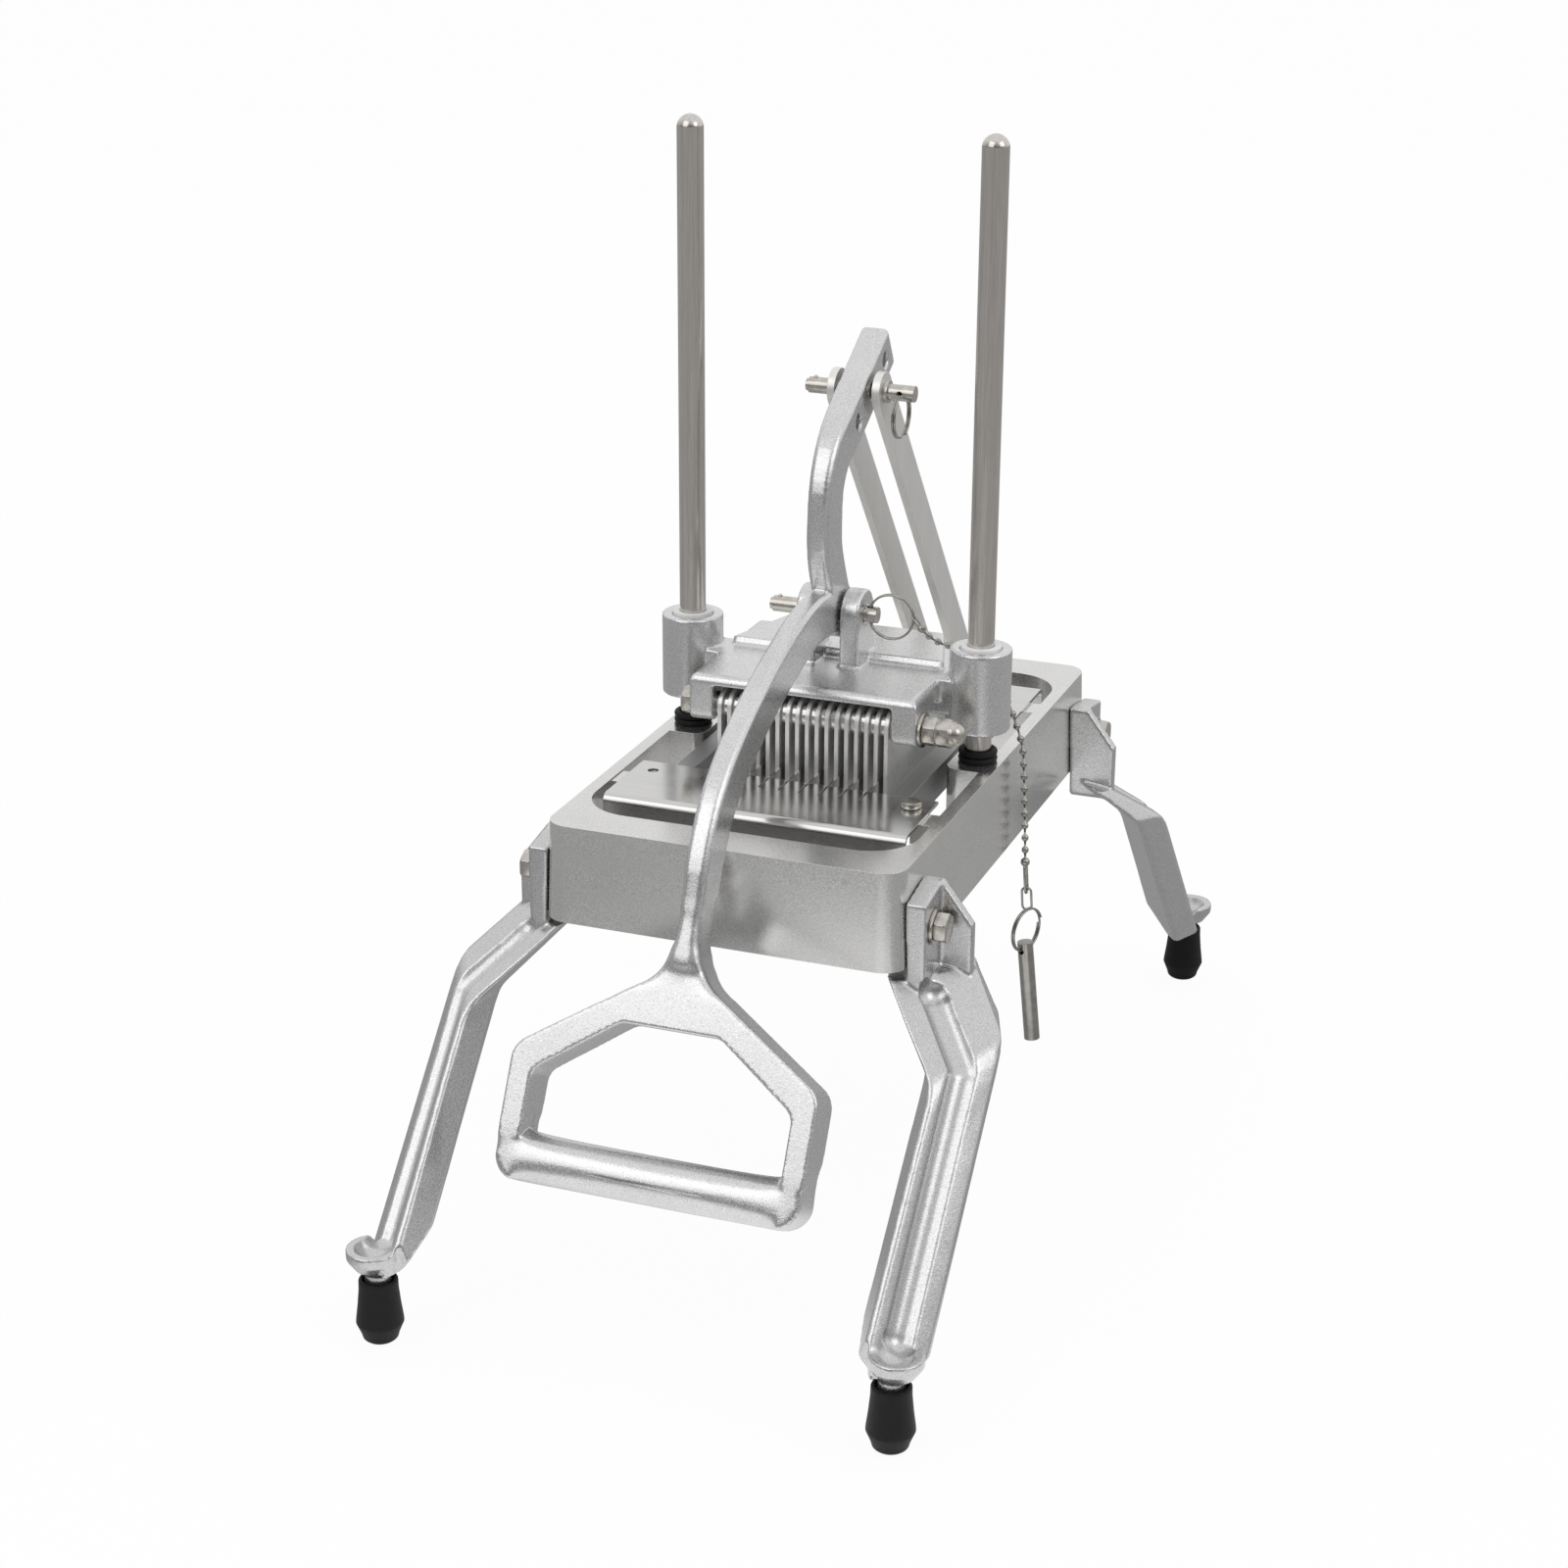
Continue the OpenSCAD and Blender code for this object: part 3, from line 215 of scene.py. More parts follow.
class Nodes:
    """The nodes of one material or world."""

    def __init__(self, tree):
        self.tree = tree
        self.tree.nodes.clear()

    def node(self, kind, settings=None, inputs=None, out=0):
        """Adds one node: its settings first, then the values or links of its sockets."""
        made = self.tree.nodes.new(kind)
        for key, value in (settings or {}).items():
            setattr(made, key, value)
        for key, value in (inputs or {}).items():
            self._feed(made.inputs[key], value)
        return Value(self, made.outputs[out])

    def _feed(self, socket, value):
        if isinstance(value, Value):
            self.tree.links.new(value.socket, socket)
        else:
            socket.default_value = value

    def place(self, stretch=(1, 1, 1)):
        """The piece's own coordinates, stretched along the axes."""
        spot = self.node("ShaderNodeTexCoord", out="Object")
        return self.node("ShaderNodeMapping", None, {"Vector": spot, "Scale": stretch})

    def noise(self, spot, scale, detail=2.0, rough=0.5):
        """A noise over a piece."""
        return self.node(
            "ShaderNodeTexNoise", None,
            {"Vector": spot, "Scale": scale, "Detail": detail, "Roughness": rough},
        )

    def ramp(self, value, low, high, bottom=0.0, top=1.0):
        """A value's range from low to high, spread from bottom to top."""
        return self.node(
            "ShaderNodeMapRange", None,
            {"Value": value, "From Min": low, "From Max": high, "To Min": bottom, "To Max": top},
        )

    def mix(self, share, first, second):
        """A share of the second colour in the first."""
        return self.node(
            "ShaderNodeMix", {"data_type": "RGBA"}, {0: share, 6: first, 7: second}, out=2
        )

    def bump(self, height, strength, distance):
        """The normal of a surface with small heights on it."""
        return self.node(
            "ShaderNodeBump", None,
            {"Height": height, "Strength": strength, "Distance": distance},
        )

    def away(self, spot, centre):
        """The distance of a spot from a centre."""
        return self.node(
            "ShaderNodeVectorMath", {"operation": "DISTANCE"}, {0: spot, 1: centre}, out="Value"
        )

    def ray(self, kind):
        """One for rays of a kind, and nought for the others."""
        return self.node("ShaderNodeLightPath", out="Is %s Ray" % kind)

    def grey(self, level):
        """A grey of one level."""
        return self.node("ShaderNodeCombineColor", None, {0: level, 1: level, 2: level})


class Finish(Nodes):
    """One material round a principled shader."""

    def __init__(self, name, **constants):
        self.material = bpy.data.materials.new(name)
        self.material.use_nodes = True
        super().__init__(self.material.node_tree)
        self.shader = self.tree.nodes.new("ShaderNodeBsdfPrincipled")
        for key, value in constants.items():
            self.shader.inputs[key.replace("_", " ")].default_value = value
        self.out = self.tree.nodes.new("ShaderNodeOutputMaterial")
        self.tree.links.new(self.shader.outputs[0], self.out.inputs["Surface"])

    def set(self, name, value):
        """Feeds one of the shader's own sockets."""
        self._feed(self.shader.inputs[name], value)


def shade(tone, share):
    """A colour, lighter or darker by a share, with its alpha."""
    return tuple(min(1.0, c * share) for c in tone) + (1.0,)


def ejector_rings(made, spot, centre):
    """The height of a shallow ring at the same place in each quarter of a piece."""
    inner, edge, outer = 0.0029, 0.0034, 0.0039
    tall = 9
    quarter = made.node("ShaderNodeVectorMath", {"operation": "ABSOLUTE"}, {0: spot})
    away = made.away(quarter, centre)
    return made.ramp(away, edge, outer, 0, tall) - made.ramp(away, inner, edge, 0, tall)


def cast_finish(name, tone, rough, grain, sparkle, marks=None):
    """Cast aluminium: fine grain, pits darkened as painted shade, specks lightened as painted
    glints and, on a rim, round ejector marks.
    """
    made = Finish(name, Metallic=0.95)
    spot = made.place()
    cloud = made.noise(spot, scale=30)
    grit = made.noise(spot, scale=1500, rough=0.6)
    # painted glints on small bright specks and painted shade in small dark pits, both as strong as
    # the sparkle
    glint_speck = made.ramp(made.noise(spot, scale=1700, detail=1), *GLINT_SPECKS) * sparkle
    pit_shade = made.ramp(made.noise(spot, scale=1300), *SHADED_PITS) * sparkle
    tint = made.ramp(cloud * 0.2 + grit * 0.8, *NARROW)
    tinted = made.mix(tint, shade(tone, DARK), shade(tone, LIGHT))
    pit_shaded = made.mix(pit_shade, tinted, shade(tone, PIT_SHADE_TONE))
    made.set("Base Color", made.mix(glint_speck, pit_shaded, shade(tone, GLINT_TONE)))
    dull = made.ramp(grit, *BROAD, rough - 0.06, rough + 0.10)
    made.set("Roughness", dull - glint_speck * 0.08)
    height = grit * 0.7 + made.noise(spot, scale=500) * 0.5
    if marks:
        height = height + ejector_rings(made, spot, marks)
    made.set("Normal", made.bump(height, strength=grain, distance=0.0005))
    return made.material


def drawn_finish(name, tone, rough, axis, streak, metal=1.0):
    """Ground or drawn metal with streaks along one axis."""
    stretch = [1.0, 1.0, 1.0]
    stretch["XYZ".index(axis)] = STREAK_WIDTH
    made = Finish(name, Metallic=metal)
    lines = made.noise(made.place(stretch), scale=2600, detail=3, rough=0.65)
    broad = made.noise(made.place(stretch), scale=500)
    spots = made.noise(made.place(), scale=120)
    share = made.ramp(lines * 0.6 + broad * 0.4, *NARROW)
    dark, light = shade(tone, 1 - streak), shade(tone, 1 + 0.6 * streak)
    made.set("Base Color", made.mix(share, dark, light))
    dull = made.ramp(lines * 0.7 + spots * 0.3, *BROAD, rough - 0.06, rough + 0.08)
    made.set("Roughness", dull)
    made.set("Normal", made.bump(lines, strength=0.06, distance=0.0002))
    return made.material


def plated_finish(name, tone, rough):
    """Plated hardware with faint wipe marks and dull spots."""
    made = Finish(name, Metallic=1.0)
    spot = made.place()
    haze = made.noise(spot, scale=260, detail=3)
    fine = made.noise(spot, scale=2400)
    share = made.ramp(haze, *MEDIUM)
    made.set("Base Color", made.mix(share, shade(tone, DARK), shade(tone, LIGHT)))
    dull = made.ramp(haze * 0.5 + fine * 0.5, *MEDIUM, rough - 0.05, rough + 0.09)
    made.set("Roughness", dull)
    made.set("Normal", made.bump(fine, strength=0.04, distance=0.0001))
    return made.material


def moulded_finish(name, tone, rough, scale, depth):
    """Moulded plastic or rubber with a matt grain."""
    made = Finish(name, Metallic=0.0, Specular_IOR_Level=0.25)
    spot = made.place()
    grain = made.noise(spot, scale, detail=3, rough=0.6)
    share = made.ramp(made.noise(spot, scale=60), *BROAD)
    made.set("Base Color", made.mix(share, shade(tone, 0.85), shade(tone, 1.2)))
    made.set("Roughness", made.ramp(grain, *BROAD, rough - 0.08, rough + 0.08))
    made.set("Normal", made.bump(grain, strength=depth, distance=0.0002))
    return made.material


def finish(node):
    """The material of a CAD node: its own, or that of its slot."""
    return FINISHES.get(node) or FINISHES[slot_of(node)]


def deselect():
    """Leaves edit mode and selects nothing."""
    if bpy.context.object and bpy.context.object.mode != "OBJECT":
        bpy.ops.object.mode_set(mode="OBJECT")
    bpy.ops.object.select_all(action="DESELECT")


def only(piece):
    """Selects one piece and makes it active."""
    deselect()
    piece.select_set(True)
    bpy.context.view_layer.objects.active = piece


def edit(piece, step):
    """Runs one edit-mode step on all of a piece's mesh."""
    only(piece)
    bpy.ops.object.mode_set(mode="EDIT")
    bpy.ops.mesh.select_all(action="SELECT")
    step()
    bpy.ops.object.mode_set(mode="OBJECT")


def modify(piece, kind, **settings):
    """Adds one modifier and applies it."""
    only(piece)
    modifier = piece.modifiers.new(kind.title(), kind)
    for key, value in settings.items():
        setattr(modifier, key, value)
    bpy.ops.object.modifier_apply(modifier=modifier.name)


def copy_of(node, name):
    """A merged copy of a CAD node's mesh, as a new piece."""
    source = frame["nodes"][node]
    piece = bpy.data.objects.new(name, source.data.copy())
    bpy.context.scene.collection.objects.link(piece)
    piece.matrix_world = source.matrix_world
    piece.data.materials.clear()
    only(piece)
    bpy.ops.object.transform_apply(location=True, rotation=True, scale=True)
    edit(piece, lambda: bpy.ops.mesh.remove_doubles(threshold=SAME))
    return piece


def body_of(node):
    """The body that a CAD node rides on."""
    for body, nodes in frame["record"]["behaviour"]["bodies"].items():
        if node in nodes:
            return body
    raise RuntimeError("no body holds " + node)


def slot_of(node):
    """The material slot of a CAD node."""
    for row in frame["record"]["subparts"]:
        if row["node"] == node:
            return row["material_slot"]
    raise RuntimeError("no slot for " + node)


def settle(piece, node):
    """Gives a piece its node's body, slot and finish, and hides the node."""
    piece.data.materials.clear()
    piece.data.materials.append(finish(node))
    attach(piece, body_of(node))
    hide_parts(node)


def soften(node, sizes):
    """Replaces a casting by a copy with round edges and filled corners."""
    piece = copy_of(node, node + "_cast")
    modify(piece, "REMESH", mode="VOXEL", voxel_size=sizes.cast_voxel, use_smooth_shade=True)
    modify(piece, "SMOOTH", factor=0.5, iterations=sizes.edge_soft)
    modify(piece, "DECIMATE", ratio=sizes.cast_share)
    only(piece)
    bpy.ops.object.shade_smooth()
    settle(piece, node)
    return piece


def flatten(piece):
    """Merges the faces that lie in one plane."""
    edit(piece, lambda: bpy.ops.mesh.dissolve_limited(angle_limit=FLAT))


def bevel(piece, width, segments, angle):
    """Rounds the edges that are sharper than an angle."""
    modify(
        piece, "BEVEL", width=width, segments=segments, limit_method="ANGLE",
        angle_limit=math.radians(angle), use_clamp_overlap=True,
    )
    only(piece)
    bpy.ops.object.shade_smooth_by_angle(angle=SMOOTH)


def round_edges(node, width, segments=2, shape=None):
    """Replaces a node by a copy, shaped further if asked, with its sharp edges rounded."""
    piece = copy_of(node, node + "_edged")
    if shape:
        shape(piece)
    flatten(piece)
    bevel(piece, width, segments, angle=35)
    modify(piece, "WEIGHTED_NORMAL", keep_sharp=True)
    settle(piece, node)
    return piece


def break_edges(table):
    """Rounds the edges of each node in a table by its width in millimetres."""
    for node, width in table.items():
        round_edges(node, width * MM)


def pick_points(piece, test):
    """Selects a piece's points by their place and stays in edit mode."""
    only(piece)
    bpy.ops.object.mode_set(mode="EDIT")
    bpy.ops.mesh.select_mode(type="VERT")
    bpy.ops.mesh.select_all(action="DESELECT")
    bpy.ops.object.mode_set(mode="OBJECT")
    for point in piece.data.vertices:
        point.select = test(point.co)
    bpy.ops.object.mode_set(mode="EDIT")


def corners(node):
    """The lowest and highest corner of a node's box."""
    return [Vector(corner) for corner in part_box(node)]


def middle(node):
    """The middle of a node's box."""
    low, high = corners(node)
    return (low + high) / 2


def ball(spot, radius):
    """A small round ball."""
    deselect()
    bpy.ops.mesh.primitive_uv_sphere_add(segments=16, ring_count=10, radius=radius, location=spot)
    bpy.ops.object.transform_apply(location=True)
    return bpy.context.object


def loop(matrix, across, thick, tall):
    """A wire loop standing along its own Z, stretched to its height."""
    deselect()
    bpy.ops.mesh.primitive_torus_add(
        major_segments=28, minor_segments=10, major_radius=across / 2, minor_radius=thick / 2,
        rotation=(math.pi / 2, 0, 0),
    )
    made = bpy.context.object
    bpy.ops.object.transform_apply(rotation=True)
    pick_points(made, lambda co: co.z > 0)
    bpy.ops.transform.translate(value=(0, 0, (tall - across) / 2))
    bpy.ops.mesh.select_all(action="INVERT")
    bpy.ops.transform.translate(value=(0, 0, (across - tall) / 2))
    bpy.ops.object.mode_set(mode="OBJECT")
    made.data.transform(matrix)
    return made


def route_points(points, steps):
    """A smooth run through the route's points."""
    run = []
    last = len(points) - 1
    spots = [Vector(p) for p in points]
    for i in range(last):
        a, b = spots[max(i - 1, 0)], spots[i]
        c, d = spots[i + 1], spots[min(i + 2, last)]
        for j in range(steps):
            t = j / steps
            run.append(0.5 * (
                2 * b + (c - a) * t + (2 * a - 5 * b + 4 * c - d) * t * t
                + (3 * b - a - 3 * c + d) * t * t * t
            ))
    run.append(spots[last])
    return run


def along(run, distance):
    """The place and direction at a distance along a run."""
    left = distance
    for a, b in zip(run, run[1:]):
        step = (b - a).length
        if left <= step:
            return a + (b - a) * (left / step), (b - a).normalized()
        left -= step
    return run[-1].copy(), (run[-1] - run[-2]).normalized()


def run_length(run):
    """The length of a run."""
    return sum((b - a).length for a, b in zip(run, run[1:]))


def join(pieces, name):
    """Joins pieces into the first of them, named."""
    deselect()
    for piece in pieces:
        piece.select_set(True)
    bpy.context.view_layer.objects.active = pieces[0]
    bpy.ops.object.join()
    made = bpy.context.object
    made.name = name
    made.data.name = name
    return made


def place_copy(source, matrix, name):
    """A copy with its own mesh, its place in the mesh."""
    piece = bpy.data.objects.new(name, source.data.copy())
    bpy.context.scene.collection.objects.link(piece)
    piece.data.transform(matrix)
    return piece


def lean(direction):
    """The turn that takes +Z to a direction."""
    return direction.to_track_quat("Z", "Y").to_matrix().to_4x4()


class SLICER_OT_view(bpy.types.Operator):
    """Set the camera where the photograph was taken"""

    bl_idname = "slicer.view"
    bl_label = "Camera"

    focal_px = 3131.42
    spot = Vector((0.472955, -1.324680, 0.736814))
    yaw, pitch, roll = (math.radians(a) for a in (20.624, 21.133, 0.332))
    sensor_mm = 36
    sight_m = 200

    def execute(self, context):
        ahead = Vector((
            -math.sin(self.yaw) * math.cos(self.pitch),
            math.cos(self.yaw) * math.cos(self.pitch),
            -math.sin(self.pitch),
        ))
        right = Vector((math.cos(self.yaw), math.sin(self.yaw), 0))
        up = right.cross(ahead)
        turned = math.cos(self.roll) * right + math.sin(self.roll) * up
        top = math.cos(self.roll) * up - math.sin(self.roll) * right
        data = bpy.data.cameras.new("photo_camera")
        data.sensor_width = self.sensor_mm
        data.lens = self.focal_px / PHOTO_SIDE * self.sensor_mm
        data.clip_end = self.sight_m
        camera = bpy.data.objects.new("photo_camera", data)
        context.scene.collection.objects.link(camera)
        turn = Matrix((turned, top, -ahead)).transposed().to_4x4()
        camera.matrix_world = Matrix.Translation(self.spot) @ turn
        context.scene.camera = camera
        return {"FINISHED"}


class SLICER_OT_finishes(bpy.types.Operator):
    """Make the materials of all the slots"""

    bl_idname = "slicer.finishes"
    bl_label = "Finishes"

    rim_mark = (0.077, 0.128, 0.2165)
    wires = (
        "bead_chain", "chain_hook", "chain_clip", "lever_pin_ring", "top_pin_ring",
        "spare_pin_ring", "spare_pin",
    )

    def execute(self, context):
        tones = context.scene.slicer_finishes
        self.castings(tones)
        self.bars_and_sheets(tones)
        FINISHES["nickel"] = plated_finish("nickel", tones.nickel, rough=0.19)
        wire = plated_finish("small_wire", tones.small_wire, rough=0.13)
        FINISHES.update(dict.fromkeys(self.wires, wire))
        FINISHES["white_nylon"] = moulded_finish(
            "white_nylon", tones.nylon, rough=0.5, scale=900, depth=0.05
        )
        FINISHES["black_rubber"] = moulded_finish(
            "black_rubber", tones.rubber, rough=0.55, scale=1100, depth=0.10
        )
        for node, made in frame["nodes"].items():
            made.data.materials.clear()
            made.data.materials.append(finish(node))
        return {"FINISHED"}

    def castings(self, tones):
        """The frame, the bright castings and the legs."""
        FINISHES["cast_frame"] = cast_finish(
            "cast_frame", tones.cast_frame, rough=0.19, grain=0.05, sparkle=0.12,
            marks=self.rim_mark,
        )
        FINISHES["cast_bright"] = cast_finish(
            "cast_bright", tones.cast_bright, rough=0.27, grain=0.18, sparkle=0.42
        )
        # the legs get a darker copy of the bright casting: painted shade
        leg = cast_finish("cast_leg_shaded", tones.cast_leg_shaded, rough=0.25, grain=0.16, sparkle=0.42)
        FINISHES.update(dict.fromkeys(LEGS, leg))

    def bars_and_sheets(self, tones):
        """The metals that are drawn, ground or rolled."""
        FINISHES["link_metal"] = drawn_finish(
            "link_metal", tones.link_metal, rough=0.40, axis="Z", streak=0.06, metal=0.9
        )
        FINISHES["rail_metal"] = drawn_finish(
            "rail_metal", tones.rail_metal, rough=0.42, axis="Y", streak=0.08
        )
        FINISHES["rod_steel"] = drawn_finish(
            "rod_steel", tones.rod_steel, rough=0.20, axis="Z", streak=0.18
        )
        FINISHES["plate_steel"] = drawn_finish(
            "plate_steel", tones.plate_steel, rough=0.15, axis="X", streak=0.05
        )
        FINISHES["pusher_plates"] = drawn_finish(
            "plate_edge", tones.plate_edge, rough=0.30, axis="Z", streak=0.05, metal=0.6
        )


class SLICER_OT_bead_chain(bpy.types.Operator):
    """String the beads of the chain along its route, with its end links"""

    bl_idname = "slicer.bead_chain"
    bl_label = "Bead chain"

    route_steps = 6
    # the wire drawn out of a bead: where it starts on the bead's radius, how far it runs into the
    # next bead's and how its end is narrowed and flattened
    wire_from = 0.8
    wire_over = 0.0002
    wire_end = (0.75, 0.75, 0.1)
    # the upper link: its cup's radius, its width, its wire and its length past its two ends
    hook_cup, hook_across, hook_wire, hook_past = 0.0021, 0.0040, 0.0010, 0.0042
    # the coupling: its cup's radius and wire, then for each loop its place along the coupling, its
    # width, its share of the coupling's length and its turn in degrees
    clip_cup, clip_wire = 0.0023, 0.0012
    clip_loops = ((0.36, 0.0042, 0.62, 0), (0.80, 0.0046, 0.48, 80))

    def execute(self, context):
        sizes = context.scene.slicer_sizes
        run = route_points(CHAIN_ROUTE, self.route_steps)
        total = run_length(run)
        count = int(total / sizes.bead_pitch)
        bead = self.bead(sizes)
        pieces = []
        for i in range(count + 1):
            spot, ahead = along(run, i * total / count)
            pieces.append(place_copy(bead, Matrix.Translation(spot) @ lean(ahead), "bead"))
        bpy.data.objects.remove(bead)
        chain = join(pieces, "bead_chain_beads")
        bpy.ops.object.shade_smooth()
        settle(chain, "bead_chain")
        hook = self.hook(run)
        clip = self.clip(run)
        return {"FINISHED"}

    def bead(self, sizes):
        """One hollow bead with the wire drawn out of its two ends."""
        deselect()
        bpy.ops.mesh.primitive_uv_sphere_add(segments=12, ring_count=8, radius=sizes.bead_d / 2)
        bead = bpy.context.object
        half = sizes.bead_pitch / 2
        tip = sizes.bead_d / 2
        for side in (1, -1):
            pick_points(bead, lambda co: co.z * side > tip * self.wire_from)
            bpy.ops.mesh.extrude_region_move(
                TRANSFORM_OT_translate={"value": (0, 0, side * (half - tip + self.wire_over))}
            )
            bpy.ops.transform.resize(value=self.wire_end, center_override=(0, 0, side * half))
            bpy.ops.object.mode_set(mode="OBJECT")
        return bead

    def hook(self, run):
        """The small link and its cup between the upper ring and the chain."""
        ring_side = middle("lever_pin_ring")
        ring_side.x = corners("lever_pin_ring")[1].x
        ahead = run[0] - ring_side
        turn = Matrix.Translation((ring_side + run[0]) / 2) @ lean(ahead)
        link = loop(turn, self.hook_across, self.hook_wire, ahead.length + self.hook_past)
        made = join([link, ball(run[0], self.hook_cup)], "chain_hook_link")
        bpy.ops.object.shade_smooth()
        settle(made, "chain_hook")
        return made

    def clip(self, run):
        """The drawn wire coupling between the chain's end and the lower ring."""
        foot = middle("spare_pin_ring")
        foot.z = corners("spare_pin_ring")[1].z
        ahead = foot - run[-1]
        parts = [ball(run[-1], self.clip_cup)]
        for share, across, tall, angle in self.clip_loops:
            turn = lean(ahead) @ Matrix.Rotation(math.radians(angle), 4, "Z")
            place = Matrix.Translation(run[-1] + ahead * share) @ turn
            parts.append(loop(place, across, self.clip_wire, ahead.length * tall))
        made = join(parts, "chain_clip_loops")
        bpy.ops.object.shade_smooth()
        settle(made, "chain_clip")
        return made


class SLICER_OT_rings(bpy.types.Operator):
    """Wind the split rings of the three pins"""

    bl_idname = "slicer.rings"
    bl_label = "Split rings"

    # the turns of each ring in degrees, the last one first
    turns = {
        "lever_pin_ring": (("X", 90), ("Z", 40)),
        "top_pin_ring": (("Y", 90),),
        "spare_pin_ring": (("Z", 70), ("X", 90)),
    }
    wire_sides = 12
    wound_steps = 150
    wound_angle = math.radians(700)
    wire_smooth = math.radians(50)

    def execute(self, context):
        sizes = context.scene.slicer_sizes
        for node, turns in self.turns.items():
            wound = self.wind(sizes)
            place = Matrix.Translation(middle(node))
            for axis, angle in turns:
                place = place @ Matrix.Rotation(math.radians(angle), 4, axis)
            wound.data.transform(place)
            wound.name = node + "_wound"
            settle(wound, node)
        return {"FINISHED"}

    def wind(self, sizes):
        """Two turns of wire lying on each other."""
        deselect()
        bpy.ops.mesh.primitive_circle_add(
            vertices=self.wire_sides, radius=sizes.ring_wire / 2, fill_type="NGON",
            location=(sizes.ring_r, 0, 0), rotation=(math.pi / 2, 0, 0),
        )
        wound = bpy.context.object
        bpy.ops.object.transform_apply(location=True, rotation=True)
        edit(wound, lambda: bpy.ops.mesh.spin(
            steps=self.wound_steps, angle=self.wound_angle, center=(0, 0, 0), axis=(0, 0, 1),
        ))
        last = len(wound.data.vertices) // self.wire_sides
        for index, point in enumerate(wound.data.vertices):
            lift = (index // self.wire_sides) / last - 0.5
            point.co.z += lift * 2 * sizes.ring_wire
        edit(wound, lambda: bpy.ops.mesh.normals_make_consistent(inside=False))
        only(wound)
        bpy.ops.object.shade_smooth_by_angle(angle=self.wire_smooth)
        return wound


class SLICER_OT_pins(bpy.types.Operator):
    """Round the ends of the pins and set the detent balls of two of them"""

    bl_idname = "slicer.pins"
    bl_label = "Pins"

    pin_edge, pin_segments = 0.0007, 3
    pivot_edge = 0.0006
    # the detent ball, and its place from the middle of the pin's left end
    ball_r = 0.0013
    ball_spot = Vector((0.0045, 0, 0.0036))

    def execute(self, context):
        for node in ("lever_pin", "top_pin"):
            self.detent(round_edges(node, self.pin_edge, self.pin_segments), node)
        round_edges("spare_pin", self.pin_edge, self.pin_segments)
        round_edges("rear_pivot_pin", self.pivot_edge)
        return {"FINISHED"}

    def detent(self, piece, node):
        """Sets the ball in a pin's left end."""
        spot = middle(node)
        spot.x = corners(node)[0].x
        knob = ball(spot + self.ball_spot, self.ball_r)
        knob.data.materials.append(finish(node))
        bpy.ops.object.shade_smooth()
        join([piece, knob], piece.name)


class SLICER_OT_fasteners(bpy.types.Operator):
    """Chamfer the hex heads, nuts and acorn nuts"""

    bl_idname = "slicer.fasteners"
    bl_label = "Bolts and nuts"

    hexes = ("leg_bolts", "cross_bolt_front", "cross_bolt_rear", "cross_nuts", "acorn_nuts")
    # shares of the corner's reach: how much is cut off it, and from where a point counts as one
    corner_cut, corner_from = 0.16, 0.985
    hex_edge, hex_angle = 0.00025, 28

    def execute(self, context):
        corner = context.scene.slicer_sizes.hex_corner
        for node in self.hexes:
            self.chamfer(node, corner)
        break_edges(WASHERS)
        return {"FINISHED"}

    def chamfer(self, node, corner):
        """Cuts the corners of a node's hexagons and breaks its edges."""
        piece = copy_of(node, node + "_hex")
        flatten(piece)
        sharp = self.hex_points(piece, corner)
        pick_points(piece, lambda co: any((co - spot).length < SAME for spot in sharp))
        bpy.ops.mesh.bevel(affect="VERTICES", offset=corner * self.corner_cut, segments=1)
        bpy.ops.object.mode_set(mode="OBJECT")
        bevel(piece, self.hex_edge, 2, self.hex_angle)
        settle(piece, node)

    def hex_points(self, piece, corner):
        """The points of a mesh that stand a hexagon's corner away from its own axis."""
        quarters = {}
        for point in piece.data.vertices:
            quarter = (point.co.x > 0, point.co.y > 0)
            quarters.setdefault(quarter, []).append(point.co.copy())
        found = []
        for group in quarters.values():
            y = (min(p.y for p in group) + max(p.y for p in group)) / 2
            z = (min(p.z for p in group) + max(p.z for p in group)) / 2
            reach = corner * self.corner_from
            found += [p for p in group if math.hypot(p.y - y, p.z - z) > reach]
        return found


